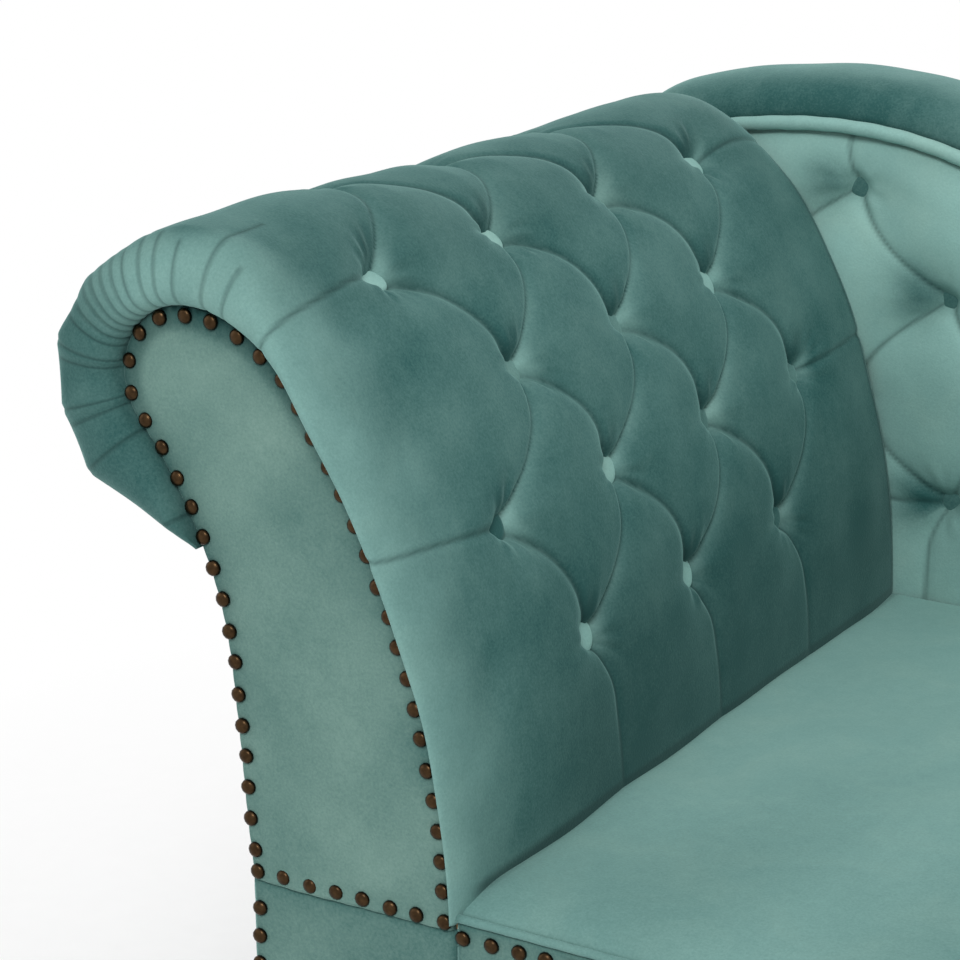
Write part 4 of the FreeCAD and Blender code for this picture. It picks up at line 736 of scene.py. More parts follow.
def arm_rings():
    """Rings of the arm pad: from its base at the back, over the skin to the front and in behind the panel.

    With the rings come the skin's own points, its folds' tones, and per station the way out, the distance
    along the pad and the depths from the front.
    """
    step = sizes().skin_step
    line, _, gone = roll_line()
    at = np.linspace(0, gone[-1], int(gone[-1] / step) + 1)
    crest = places_on(line, gone, at)
    base = arm_line(PAD_BASE, 0.5)[0]
    base = base[:np.argmin(np.linalg.norm(base - crest[-1], axis=1)) + 1]
    root = base[[np.argmin(((base - point) ** 2).sum(axis=1)) for point in crest]]
    root[0, 1] = crest[0, 1]
    for axis in (0, 1):
        root[:, axis] = np.convolve(np.pad(root[:, axis], 4, mode="edge"), np.ones(9) / 9, mode="valid")
    thick = np.linalg.norm(crest - root, axis=1)
    out = (crest - root) / thick[:, None]
    share = np.minimum(1, thick / FULL_THICKNESS)
    on_roll, overhang = smooth_step(at, *ON_ROLL), smooth_step(at, *OVERHANG)
    rim, bulge = RIM_BACK - 24 * on_roll, 6 + 10 * overhang - 4 * on_roll
    panel_edge = -PAD_BASE + PANEL_MARGIN + FIT_GAP
    nose = panel_edge + (thick - panel_edge) * (0.15 + 0.21 * overhang)
    rim_drop = np.minimum(12 - 10 * on_roll, 0.4 * (thick - nose))
    rear_drop = 4 + 15 * smooth_step(at, *REAR_SINKS)
    full = np.interp(at, FULL_PLACES, FULL_RISES)
    full_from, full_to = np.where(at > UNDERSIDE, 8, 90), np.where(at > UNDERSIDE, 60, 260)
    start, reach = rim * share, (rim + bulge) * share
    front = start - reach
    rings = []

    def ring(*parts):
        """Keep a ring's depth, height and place on the skin, and how much the skin faces back and out."""
        rings.append(np.broadcast_arrays(*parts))

    for portion in np.linspace(0, 1, int((PAD_REAR - RIM_BACK) / step)):
        depth = PAD_REAR + (start - PAD_REAR) * portion
        near = np.clip((RIM_CALM - depth) / (RIM_CALM - start), 0, 1)
        back = np.clip((depth - (PAD_REAR - REAR_CALM)) / REAR_CALM, 0, 1)
        drop = (rim_drop * np.sin(QUARTER * near) ** 2 + rear_drop * back ** 2.4) * share
        ring(depth, thick - drop + full * (1 - smooth_step(depth, full_from, full_to)), depth, 0, 1)
    top, around = rings[-1][1], QUARTER * (rim + bulge) * 0.8
    for turn in np.linspace(QUARTER, 0, RIM_RINGS + 1)[1:]:
        ring(start - reach * math.cos(turn), nose + (top - nose) * math.sin(turn),
             start - around * (1 - turn / QUARTER), -math.cos(turn), math.sin(turn))
    for turn in np.linspace(0, QUARTER, TUCK_RINGS + 1)[1:]:
        ring(front + (1.0 - front) * (1 - math.cos(turn)), nose + (panel_edge - nose) * math.sin(turn),
             start - around - 16 * turn, -math.cos(turn), -math.sin(turn))
    depth, height, on_skin, faces_back, faces_out = np.array(rings).transpose(1, 2, 0)
    calm = share * (0.25 + 0.75 * smooth_step(at, 8, 75))
    fall, tones = arm_fall(on_skin, at[:, None] + 0 * on_skin, calm[:, None])
    fall = np.minimum(fall, np.maximum(height - 5, 0.2 * height))
    skin = raised(root[:, None], out[:, None], height - faces_out * fall, depth - faces_back * fall)
    hidden = [raised(root, out, up, y)[:, None]
              for up, y in ((panel_edge, PANEL_BACK), (0, PANEL_BACK), (0, PAD_REAR))]
    return np.concatenate([skin] + hidden, axis=1), skin, tones, (out, at, on_skin)


class CHAISE_OT_arm_pad(bpy.types.Operator):
    """Build the arm's buttoned pad with its folds, front gathers and seams"""
    bl_idname = "chaise.arm_pad"
    bl_label = "Arm pad"

    def execute(self, context):
        rings, skin, (near_fold, near_seam, bright, shade), (_, at, depth) = arm_rings()
        distance = at[:, None]
        # Where the velvet is painted pale or dark: a pale band down the front, partly its brushed pile and
        # partly painted sheen, and painted shade low on the arm, on the outer side of the roll and over its
        # top
        on_side = smooth_step(distance, *OUTER_SIDE)
        uneven = 5 * noise_of(6, 9, 40, 130)(depth, distance)
        band = 1 - smooth_step(depth + uneven, -14, 72 - 59 * smooth_step(distance, *BAND_NARROWS))
        low = (1 - smooth_step(distance, *LOW_ARM)) * smooth_step(depth, *LOW_DEPTH)
        over_top = smooth_step(distance, *TOP_BEGINS) * (1 - smooth_step(distance, *TOP_ENDS))
        nap = 0.11 - 0.09 * low - 0.09 * on_side + (0.40 - 0.32 * on_side) * band
        nap += 0.42 * bright - 0.14 * shade + 0.02 * noise_of(7, 12, 30, 120)(depth, distance)
        # Painted shade in the folds and seams
        dark = 0.42 * spot(near_fold, 1.5) + 0.5 * spot(near_seam, 1.4)
        dark += 0.46 * low + 0.15 * over_top * (1 - band) + 0.2 * on_side * (1 - 0.1 * band)
        # Round each button a painted highlight lies behind it and painted shade above it
        random = np.random.default_rng(14)
        swayed = depth - sway(distance)
        for place in (arm_place(*node) for node in ARM_BUTTONS):
            across, up = swayed - place[0], distance - place[1]
            nap += random.uniform(0.14, 0.44) * spot(across - 8, 6) * spot(up - 1, 9)
            dark += 0.34 * spot(across + 5, 7) * spot(up - 15, 10)
        # It is in shade too where the pad meets the seat and the back
        dark += 0.75 * (1 - smooth_step(skin[..., 2], 8, 15)) * smooth_step(depth, 8, 30)
        dark += 0.6 * smooth_step(depth, PAD_REAR - 7, PAD_REAR - 1)
        beyond = ((0, 0), (0, HIDDEN_POINTS))
        ring_solid("arm_pad_velvet", rings, "tufted_velvet", ["arm_pad"], 0.75,
                   nap=np.pad(nap, beyond, constant_values=0.2),
                   fold=np.pad(np.clip(dark, 0, 0.8), beyond, constant_values=0.6))
        return {"FINISHED"}


# Flat covered pieces

NAIL_PITCH = 17.4
PANEL_NAIL_PITCH = 17.8
ARM_NAILS_ACROSS, ARM_NAILS_DOWN, DOWN_PITCH = 8, 11, 17.2
ACROSS_LEVEL, SEAT_NAIL_LEVEL = -5.0, -12.0
DENT_REACH = 7.0
FLAT_SAGE = 0.8
COVER_FRONT, COVER_THICK = PANEL_THICK, 5.0
EDGE_SHADE, EDGE_SHADE_MM = 0.12, 4


def within(value, low, high):
    """Distance from a value to the nearer end of a span."""
    return np.minimum(value - low, high - value)


def slow_waves(tall, seed, count, low_mm, high_mm, u, v, edge, calm_mm):
    """Slow waves in a cover, calm near its edges."""
    return tall * noise_of(seed, count, low_mm, high_mm)(u, v) * np.clip(edge / calm_mm, 0, 1)


def rows_between(xs, floor, top, count):
    """Grids of x and z, from a floor line to a top line over each x."""
    share = np.linspace(0, 1, count)
    return xs[:, None] + 0 * share, floor[:, None] + (top - floor)[:, None] * share


def dimples(x, z, places, deep):
    """Small dents that nails pull into a cover."""
    return sum(deep * np.exp(-((x - across) ** 2 + (z - up) ** 2) / DENT_REACH ** 2) for across, up in places)


def arm_nail_places():
    """Places of the arm's nails as (x, z): unevenly round the panel, then across and down below it."""
    line, _, gone = arm_line(0, 0.5)
    share = np.linspace(0, 1, round(gone[-1] / PANEL_NAIL_PITCH) + 1)
    around = places_on(line, gone, share * gone[-1] - 8 * np.sin(math.pi * share ** 1.3))
    across = stacked(np.linspace(-ARM_WIDTH, -ARM_START, ARM_NAILS_ACROSS), ACROSS_LEVEL)
    down = stacked(-ARM_WIDTH, PANEL_SEAM - DOWN_PITCH * np.arange(1, ARM_NAILS_DOWN + 1))
    return np.vstack([around[1:-1], across, down])


def nail_row(node, axis, end_gap):
    """Places along a straight row of nails, at the pitch that divides it evenly."""
    low, high = extent(node)
    first, last = low[axis] + end_gap, high[axis] - end_gap
    return np.linspace(first, last, round((last - first) / NAIL_PITCH) + 1)


def front_nail_line():
    return nail_row("front_nails", 0, 4.75)


def foot_nail_line():
    return nail_row("foot_nails", 1, 4.11)


class CHAISE_OT_arm_covers(bpy.types.Operator):
    """Build the arm's front panel, the panel below it and the cover outside"""
    bl_idname = "chaise.arm_covers"
    bl_label = "Arm covers"

    def execute(self, context):
        nails = arm_nail_places()
        self.panel(nails)
        self.base(nails)
        self.outside()
        return {"FINISHED"}

    def panel(self, nails):
        """The scrolled front panel, set inside its nails and a little full."""
        line, _, _ = arm_line(PANEL_MARGIN - 0.2, 0.5)
        top = int(np.argmax(line[:, 1]))
        peak = line[top, 1]
        inner, outer = line[:top + 1], line[top:][::-1]
        heights = np.unique(np.concatenate([np.linspace(PANEL_SEAM, 260, 136),
                                            260 + (peak - 260) * np.sin(np.linspace(0, QUARTER, 40))]))
        heights = heights[heights < peak - 0.02]
        right = np.interp(heights, inner[:, 1], inner[:, 0])[:, None]
        left = np.interp(heights, outer[:, 1], outer[:, 0])[:, None]
        x = left + (right - left) * ((1 - np.cos(np.linspace(0, math.pi, 90))) / 2)
        z = heights[:, None] + 0 * x
        to_line = np.min([np.hypot(x - px, z - pz) for px, pz in line[::16]], axis=0)
        to_edge = np.minimum(within(x, left, right), to_line)
        y = -1.2 * eased(to_edge, 45) + edge_fall(to_edge, 4.0, 3.0)
        y += dimples(x, z, nails, 1.3) + 0.35 * noise_of(21, 10, 60, 170)(x, z)
        # Painted shadow that the pad's rounded lip casts on the panel, near its outline and strongest higher
        # up
        painted_lip_shadow = np.exp(-to_line / 10) * smooth_step(z, 40, 220)
        painted_lip_shadow += 0.7 * (1 - smooth_step(to_line, 9, 17)) * smooth_step(z, 230, 290)
        nap = 0.30 + 0.03 * noise_of(22, 8, 50, 140)(x, z) - EDGE_SHADE * np.exp(-to_edge / EDGE_SHADE_MM)
        nap += 0.05 * smooth_step(z, 150, 330) - 0.15 * painted_lip_shadow
        plate("arm_panel_velvet", stacked(x, y, z), stacked(x, PANEL_THICK, z), "plain_velvet",
              ["arm_front_panel"], nap, 0.38 * painted_lip_shadow, FLAT_SAGE)

    def base(self, nails):
        """The border panel below, in the front plane, its top edge turned in."""
        low, high = extent("arm_base_panel")
        x, z = np.meshgrid(np.linspace(low[0], high[0], max(40, int((high[0] - low[0]) / 4))),
                           np.linspace(low[2], high[2], 70), indexing="ij")
        edge = np.minimum(within(x, low[0], high[0]), within(z, low[2], high[2]))
        y = edge_fall(edge, 3.5, 2.5) + dimples(x, z, nails, 1.0)
        y += slow_waves(0.3, 31, 10, 60, 200, x, z, edge, 20)
        nap = 0.20 + 0.03 * noise_of(32, 8, 70, 200)(x, z) - EDGE_SHADE * np.exp(-edge / EDGE_SHADE_MM)
        plate("arm_base_velvet", stacked(x, y, z), stacked(x, high[1], z), "plain_velvet",
              ["arm_base_panel"], nap, sage=FLAT_SAGE)

    def outside(self):
        """The cover that runs from the hollow under the roll down the outside of the arm."""
        line, headings = neck_line(3.0)
        drop = np.append(np.arange(PANEL_SEAM - 4, RAIL_BOTTOM, -4.0), RAIL_BOTTOM)
        line = np.vstack([line, stacked(line[-1, 0], drop)])
        headings = np.concatenate([headings, np.full(len(drop), -QUARTER)])
        out = stacked(np.sin(headings), -np.cos(headings))
        gone = run_of(line)
        along, y = np.meshgrid(gone, np.linspace(COVER_FRONT, COVER_REAR, 150), indexing="ij")
        edge = np.minimum(within(y, COVER_FRONT, COVER_REAR), gone[-1] - along)
        thick = COVER_THICK - edge_fall(edge, 4, 2.4) + slow_waves(0.5, 41, 10, 90, 260, along, y, edge, 30)
        outer, inner = (raised(line[:, None], out[:, None], height, y) for height in (thick, 0))
        plate("arm_outside_velvet", outer, inner, "plain_velvet", ["arm_outside_cover"],
              0.22 + 0.02 * noise_of(42, 14, 120, 420)(along, y), sage=FLAT_SAGE)
        self.neck(line[0], out[0])

    def neck(self, below, out):
        """The strip that closes the neck between the outside cover and the head end of the crest."""
        head = crest_line(0, 1.0)[0][0]
        up = (head - below) / np.linalg.norm(head - below)
        away = np.array((-up[1], up[0]))
        share, y = np.meshgrid(np.linspace(0, 1, 16), np.linspace(PAD_REAR - 66, COVER_REAR - 0.5, 60),
                               indexing="ij")
        inner = below + (head - up - below) * share[..., None]
        outer = inner + (out + (away - out) * share[..., None]) * COVER_THICK
        plate("arm_neck_velvet", *(stacked(flat[..., 0], y, flat[..., 1]) for flat in (outer, inner)),
              "plain_velvet", [], 0.16)


# Seat

SEAT_EDGE_RISE, SEAT_CROWN, SEAT_ROUND, SEAT_RUN = 7, 26, 42, 300
SEAT_STEP, SEAT_FRONT = 6.0, 48


def seat_outline():
    """The seat's lowest and highest corner, where the back ends along x, and where the back's pad begins."""
    low, high = extent("seat_cushion")
    return low, high, extent("crest_roll")[1][0] + 0.5, extent("back_pad")[0][1] - FIT_GAP


def seat_height(x, y):
    """Height of the crowned seat, and the distance to its open edges."""
    low, high, back_end, rear = seat_outline()
    edge = np.minimum(within(y, low[1], high[1]), high[0] - x)
    to_rear = np.maximum(rear - y, np.minimum(x - back_end, high[1] - y))
    crown = 1
    for away in (y - low[1], x - low[0], high[0] - x, to_rear):
        crown = crown * eased(away, SEAT_RUN)
    return SEAT_EDGE_RISE * eased(edge, SEAT_ROUND) ** 0.8 + (SEAT_CROWN - SEAT_EDGE_RISE) * crown, edge


def under_back(x, y):
    """Where the back's pad and the foot of its roll stand on the seat, so that its cover is cut away."""
    _, _, back_end, rear = seat_outline()
    roll_low, roll_high = extent("crest_roll")
    foot = crest_line(0)[0][-1, 0] + 4
    across = np.clip((y - roll_low[1]) / (roll_high[1] - roll_low[1]), 0, 1)
    return (y > rear) & (x < foot + (back_end - foot) * np.sin(math.pi * across) ** 0.62 - 4)


class CHAISE_OT_seat(bpy.types.Operator):
    """Build the crowned seat, drawn in along its open edges"""
    bl_idname = "chaise.seat"
    bl_label = "Seat"

    def execute(self, context):
        low, high, back_end, rear = seat_outline()
        xs = np.unique(np.concatenate([np.arange(low[0], back_end, SEAT_STEP), [back_end],
                                       np.arange(back_end + SEAT_STEP, high[0], SEAT_STEP), [high[0]]]))
        ys = np.unique(np.concatenate([np.linspace(low[1], low[1] + SEAT_FRONT, 13),
                                       np.arange(low[1] + SEAT_FRONT + SEAT_STEP, rear, SEAT_STEP), [rear],
                                       np.arange(rear + SEAT_STEP, high[1], SEAT_STEP), [high[1]]]))
        x, y = np.meshgrid(xs, ys, indexing="ij")
        z, edge = seat_height(x, y)
        z += slow_waves(0.9, 51, 12, 90, 300, x, y, edge, 60)
        pleats = np.sin(x / 9.0 + 1.2 * np.sin(x / 41)) * spot(y - low[1], 14) * 0.35
        z += pleats * np.clip((y - low[1]) / 3, 0, 1)
        x = x - (4 + 7 * (1 - smooth_step(y, 4, 40))) * (1 - smooth_step(x, 4, 70))
        nap = 0.44 + 0.03 * noise_of(52, 10, 120, 420)(x, y) + 0.24 * smooth_step(y, 20, 380)
        nap -= 0.1 * smooth_step(x, 300, 700)
        shade = 0.5 * (np.exp(-(x - xs[0] + 4) / 4) * smooth_step(y, 10, 40))
        # Only the cells beside the back are kept, with the points at their corners
        solid = ~under_back(((xs[:-1] + xs[1:]) / 2)[:, None], (ys[:-1] + ys[1:]) / 2)
        keep = np.zeros(x.shape, bool)
        for part in (keep[:-1, :-1], keep[1:, :-1], keep[1:, 1:], keep[:-1, 1:]):
            part |= solid
        count = int(keep.sum())
        index = -np.ones(x.shape, int)
        index[keep] = np.arange(count)
        quads = np.stack((index[:-1, :-1], index[1:, :-1], index[1:, 1:], index[:-1, 1:]), axis=-1)[solid]
        sides = np.concatenate([quads[:, [a, b]] for a, b in ((0, 1), (1, 2), (2, 3), (3, 0))]).tolist()
        known = set(map(tuple, sides))
        walls = [[b, a, a + count, b + count] for a, b in sides if (b, a) not in known]
        top, bottom = stacked(x, y, z)[keep], stacked(x, y, RAIL_TOP + FIT_GAP)[keep]
        faces = quads.tolist() + (quads[:, ::-1] + count).tolist() + walls
        new_piece("seat_velvet", np.concatenate([top, bottom]), faces, "plain_velvet", ["seat_cushion"], 0.8,
                  nap=np.tile(nap[keep], 2), fold=np.tile(shade[keep], 2))
        return {"FINISHED"}


def carried(places, sides, ups, across, up):
    """Rings of points carried along stations, out from each across and up."""
    return places[:, None] + sides[:, None] * across[..., None] + ups[:, None] * up[..., None]


def cord(name, node, places, sides, ups, diameter, corners, phases, quick, slow, tone):
    """A velvet-covered cord along stations, uneven by a quick and a slow wave, each as (height, rate)."""
    turns = round_turns(corners)
    phases = phases[:, None] + np.linspace(0, 2, corners, endpoint=False)
    radius = diameter / 2 * (1 + sum(tall * np.sin(phases * rate) for tall, rate in (quick, slow)))
    rings = carried(places, sides, ups, np.cos(turns) * radius, np.sin(turns) * radius)
    ring_solid(name, rings, "piping_velvet", [node], 1.0, nap=tone, fold=0.0)


BORDER_STATIONS = 320
WELT_RADIUS, WELT_TURN, WELT_PITCH = 2.7, 5.5, 7.0


class CHAISE_OT_borders(bpy.types.Operator):
    """Build the seat's borders and the piped welt above them"""
    bl_idname = "chaise.borders"
    bl_label = "Borders and welt"

    def execute(self, context):
        self.border("front_border", front_nail_line(), False)
        self.border("foot_border", foot_nail_line(), True)
        self.welt()
        return {"FINISHED"}

    def border(self, node, nails, at_foot):
        """A long border with a turned-in top edge and dents at its nails."""
        low, high = extent(node)
        axis = int(at_foot)
        start, end = low[axis], high[axis]
        u, z = np.meshgrid(np.arange(start, end + 0.1, (end - start) / BORDER_STATIONS),
                           np.concatenate([np.linspace(low[2], -30, 24), np.linspace(-28, high[2], 22)]),
                           indexing="ij")
        edge = np.minimum(within(u, start, end) + 4 * axis, within(z, low[2], high[2]))
        fall = edge_fall(edge, 3.5, 2.4) + dimples(u, z, [(place, SEAT_NAIL_LEVEL) for place in nails], 0.9)
        fall += slow_waves(0.3, 61, 12, 60, 260, u, z, edge, 25)
        if at_foot:
            faces = stacked(high[0] - fall, u, z), stacked(low[0], u, z)
        else:
            faces = stacked(u, fall, z), stacked(u, high[1], z)
        nap = 0.24 + 0.03 * noise_of(62, 8, 90, 300)(u, z) - EDGE_SHADE * np.exp(-edge / EDGE_SHADE_MM)
        plate(node + "_velvet", *faces, "plain_velvet", [node], nap, sage=FLAT_SAGE)

    def welt(self):
        """Piped welt along the front, round the foot and back to the low end of the back."""
        low, high = extent("seat_welt")
        front, foot, rear = low[1] + WELT_RADIUS, high[0] - WELT_RADIUS, high[1] - WELT_RADIUS
        corner, end = foot - WELT_TURN, extent("crest_roll")[1][0] + FIT_GAP
        path = [(x, front, -QUARTER) for x in np.arange(low[0] - 3.5, corner, WELT_PITCH)]
        bend = np.linspace(-QUARTER, 0, 7)
        first, second = ([(corner + WELT_TURN * math.cos(turn), middle + WELT_TURN * math.sin(turn), turn)
                          for turn in turns] for turns, middle in ((bend, front + WELT_TURN),
                                                                   (bend + QUARTER, rear - WELT_TURN)))
        side = np.arange(front + WELT_TURN + WELT_PITCH, rear - WELT_TURN, WELT_PITCH)
        path += first + [(foot, y, 0.0) for y in side] + second
        path += [(x, rear, QUARTER) for x in np.append(np.arange(corner - WELT_PITCH, end, -WELT_PITCH), end)]
        x, y, way = np.array(path).T
        cord("seat_welt_velvet", "seat_welt", stacked(x, y, (low[2] + high[2]) / 2 - 0.6),
             stacked(np.cos(way), np.sin(way), 0), np.tile((0, 0, 1.0), (len(path), 1)), 4.8, 14,
             np.arange(len(path)), (0.035, 2.1), (0.02, 0.7), 0.38)


# Back

BACK_COLUMN_FIRST, BACK_COLUMN_STEP, BACK_COLUMNS = -43, 73, 14
BACK_ROW_FIRST, BACK_ROW_PITCH = 77, 72.5
BACK_LEANS = (8, 4, 0, 2)
BACK_SWAY = -12.0
ROOM_ABOVE, ROOM_BESIDE = 36, 20
PIPING_INSIDE = -4.2
DEEPEST_TUFT = 22
# The back pad's mesh is finer as far as this, and closes up over its last stretch at the foot
NEAR_ARM, FOOT_ROUND = 70, 30
# Pleats of the crest roll by their distance from its head end, and those of its foot from the other end
PLEATS = (18, 34, 52, 70, 88, 108, 150, 235, 262, 420, 610, 800, 1010)
FOOT_PLEATS = (110, 92, 74, 55, 38, 20)
# Where along x the outside cover's lower edge drops from the arm's hollow to the rail
HEEL = -133.5


def back_place(column, row):
    x = BACK_COLUMN_FIRST + BACK_COLUMN_STEP * column + BACK_LEANS[row]
    return x, BACK_ROW_FIRST + BACK_ROW_PITCH * row


def back_buttons():
    """Buttons of the back as (column, row), where there is room under the piping."""
    found = []
    for column in range(BACK_COLUMNS):
        for row in range((column + 1) % 2, len(BACK_LEANS), 2):
            x, z = back_place(column, row)
            if min(piping_height(np.array([x - ROOM_BESIDE, x + ROOM_BESIDE]))) - z > ROOM_ABOVE:
                found.append((column, row))
    return found


def back_sway(height):
    """How far the folds of the back bow along x, over height; less than 0 is towards the arm."""
    row = (height - BACK_ROW_FIRST) / BACK_ROW_PITCH
    between = np.abs(np.sin(math.pi * np.clip(row, 0, 5)))
    return BACK_SWAY * np.where(row < 0, eased(-2 * row, 1), between)


def back_folds():
    """Folds of the back over (x, z), before they sway: diamonds, and pleats to the piping and the seat."""
    buttons = back_buttons()
    folds = []
    for column, row in buttons:
        x, z = place = back_place(column, row)
        left, right = (column - 1, row + 1) in buttons, (column + 1, row + 1) in buttons
        if left:
            folds.append(fold(back_place(column - 1, row + 1), place, 5.5, 6.0, middle=1.4, over=4,
                              under=12, low_end=2))
        if right:
            folds.append(fold(place, back_place(column + 1, row + 1), 6.0, 5.5, middle=1.4, over=4,
                              under=12, low_end=1))
        if not left and not right:
            top = float(piping_height(x))
            folds.append(fold(place, (x + 4, top), 5.5, 2.0, middle=1.4, over=4, under=9))
        if column == 0 and row > 1:
            folds.append(fold((x - 73, z - 72), place, 4.0, 5.5, middle=1.4, over=4, under=10))
        if row == 0:
            folds.append(fold((x - 3, -20), place, 0.8, 5.0, middle=1.4, over=5, under=10))
        if (column, row) == (1, 0):
            folds.append(fold((x - 100, z - 4), place, 2.0, 5.0, middle=1.6, over=4, under=9))
    return folds


class CHAISE_OT_back_pad(bpy.types.Operator):
    """Build the back's buttoned pad"""
    bl_idname = "chaise.back_pad"
    bl_label = "Back pad"

    def execute(self, context):
        low, high = extent("back_pad")
        foot = crest_line(PIPING_INSIDE)[0][-1, 0] - FIT_GAP
        xs = np.concatenate([np.arange(low[0] - 34, NEAR_ARM, 2.3),
                             np.arange(NEAR_ARM, foot - FOOT_ROUND, 4.2),
                             foot - FOOT_ROUND * (1 - np.sin(np.linspace(0, QUARTER, 14)))])
        top = piping_height(xs, PIPING_INSIDE)
        heel, _ = neck_line(1.0)
        x, z = rows_between(xs, np.maximum(low[2], np.interp(xs - 6, heel[:, 0], heel[:, 1])), top, 146)
        deep = sizes().back_tuft_depth
        swayed = x - back_sway(z)
        buttons = [back_place(*node) for node in back_buttons()]
        folds, near_fold, bright, shade = fold_depth(swayed, z, back_folds())
        pits = pit_depth(swayed, z, buttons, 50, deep * 0.36, pit=14, pit_deep=deep * 0.2, seed=71)
        dome = deep * 0.2 * (1 - eased(near_fold, 42))
        rim = edge_fall(np.minimum(top[:, None] - z, within(x, xs[0], xs[-1])), 34, 16)
        ripple = 0.5 * noise_of(72, 12, 50, 170)(x, z)
        fall = softened(np.minimum(folds + pits + dome + rim + ripple, DEEPEST_TUFT))
        nap = 0.66 + 0.20 * smooth_step(z, 60, 260) + 0.2 * bright - 0.2 * shade
        # Painted shade in the dimple beside each button, towards the arm and a little above it
        for across, up in buttons:
            nap -= 0.62 * spot(swayed - across + 18, 19) * spot(z - up - 2, 19)
        nap += 0.05 * noise_of(73, 9, 70, 200)(x, z)
        # Painted shade along the folds, passed as the plate's dark
        plate("back_pad_velvet", stacked(x, low[1] + fall, z), stacked(x, high[1], z), "tufted_velvet",
              ["back_pad"], nap, 0.5 * spot(near_fold, 1.7), padded=0.75)
        return {"FINISHED"}


class CHAISE_OT_crest(bpy.types.Operator):
    """Build the roll along the top of the back, its piping and the cover behind"""
    bl_idname = "chaise.crest"
    bl_label = "Crest and outside back"

    def execute(self, context):
        points, outs = crest_line(0, 3.0)
        low, high = extent("back_piping")
        gone = run_of(points)
        sides, ups = np.tile((0, 1.0, 0), (len(points), 1)), stacked(outs[:, 0], 0, outs[:, 1])
        cord("back_piping_velvet", "back_piping", stacked(points[:, 0], (low[1] + high[1]) / 2, points[:, 1]),
             sides, ups, 10, 16, gone / 9, (0.03, 2.3), (0.02, 0.9), 0.82)
        self.roll(points, sides, ups, gone[:, None])
        self.outside(points)
        return {"FINISHED"}

    def roll(self, points, sides, ups, gone):
        """The stuffed roll: a low arch in section, with short pleats where the line turns."""
        low, high = extent("crest_roll")
        turns = np.linspace(0, math.pi, 33)
        share = np.linspace(0, 1, len(turns))
        across = (1 - np.cos(turns)) / 2 * (high[1] - low[1] - 1.0)
        arch = np.sin(turns) ** 0.62 * CREST_ROLL_HEIGHT + FIT_GAP
        random = np.random.default_rng(81)
        total = gone[-1, 0]
        fall = 0
        for place in PLEATS + tuple(total - away for away in FOOT_PLEATS):
            slant, width, reach = random.uniform(-16, 16), random.uniform(5, 9), random.uniform(0.22, 0.42)
            deep = random.uniform(1.4, 2.6) if 120 < place < total - 130 else random.uniform(2.2, 3.8)
            pleat = deep * spot(gone - place - slant * share, width)
            fall = fall + pleat * (1 - smooth_step(share, reach * 0.5, reach))
            fall = fall + pleat * 0.8 * smooth_step(share, 1 - reach, 1 - reach * 0.5)
        over = share * 120
        fall += 0.5 * noise_of(82, 10, 50, 200)(gone, over)
        height = np.maximum(arch - fall * np.sin(turns) ** 0.4, FIT_GAP)
        rings = carried(stacked(points[:, 0], low[1] + 0.5, points[:, 1]), sides, ups, across, height)
        # Painted shade on the roll's front half, which is darker than its top and back, and in its pleats
        # through the fold attribute; the roll also grows paler from the arm end towards its foot
        nap = 0.28 - 0.22 * smooth_step(np.cos(turns), 0.1, 0.95)
        nap = nap + 0.22 * smooth_step(points[:, :1], -20, 300)
        nap += 0.05 * noise_of(83, 9, 60, 220)(gone, over) + 0.03 * fall
        ring_solid("crest_roll_velvet", rings, "tufted_velvet", ["crest_roll"], 0.85, nap=nap,
                   fold=np.clip(fall * 0.03, 0, 0.3))

    def outside(self, points):
        """The plain cover over the outside of the back."""
        low, high = extent("back_outside_cover")
        scroll = points[:int(np.argmin(points[:, 0])) + 1][::-1]
        heel = np.vstack([scroll, neck_line(1.0)[0]])
        xs = np.unique(np.concatenate([np.linspace(scroll[0, 0] + 0.2, scroll[-1, 0], 14),
                                       np.linspace(scroll[-1, 0] + 0.2, HEEL - 0.5, 50),
                                       np.arange(HEEL + 0.5, high[0], 7.0), [high[0]]]))
        floor = np.where(xs < HEEL, np.interp(xs, heel[:, 0], heel[:, 1]), RAIL_BOTTOM)
        end, end_height = points[-1]
        top = np.where(xs > end, end_height, np.maximum(piping_height(np.minimum(xs, end)), end_height))
        x, z = rows_between(xs, floor, top, 70)
        edge = np.minimum(within(z, floor[:, None], top[:, None]), within(x, xs[0], xs[-1]))
        y = high[1] - edge_fall(edge, 4, 2.4) + slow_waves(0.5, 91, 12, 90, 300, x, z, edge, 30)
        nap = 0.30 + 0.02 * noise_of(92, 14, 140, 460)(x, z)
        plate("back_outside_velvet", stacked(x, np.minimum(y, high[1]), z), stacked(x, low[1], z),
              "plain_velvet", ["back_outside_cover"], nap, sage=FLAT_SAGE)


# Nails and buttons, set out by geometry nodes on points with a direction

NAIL_FACETS, NAIL_HEIGHT, NAIL_TURN = 12, 3.0, 0.09
NAIL_SINK, NAIL_STRAY = 0.4, 0.35
BUTTON_RINGS, BUTTON_FACETS, BUTTON_TURN = 6, 24, 0.12
ARM_BUTTON_SHARE, ARM_BUTTON_HEIGHT, BACK_BUTTON_HEIGHT = 1.07, 4.0, 5.0
# How far a button's rim stands off the velvet in its pit, and the rim of a shaded one
BUTTON_LIFT, SHADED_LIFT = 4.4, 2.8
BACK_BUTTON_TONE, BACK_BUTTON_SINK = 0.12, 0.77
SPIN_SHARE = 8


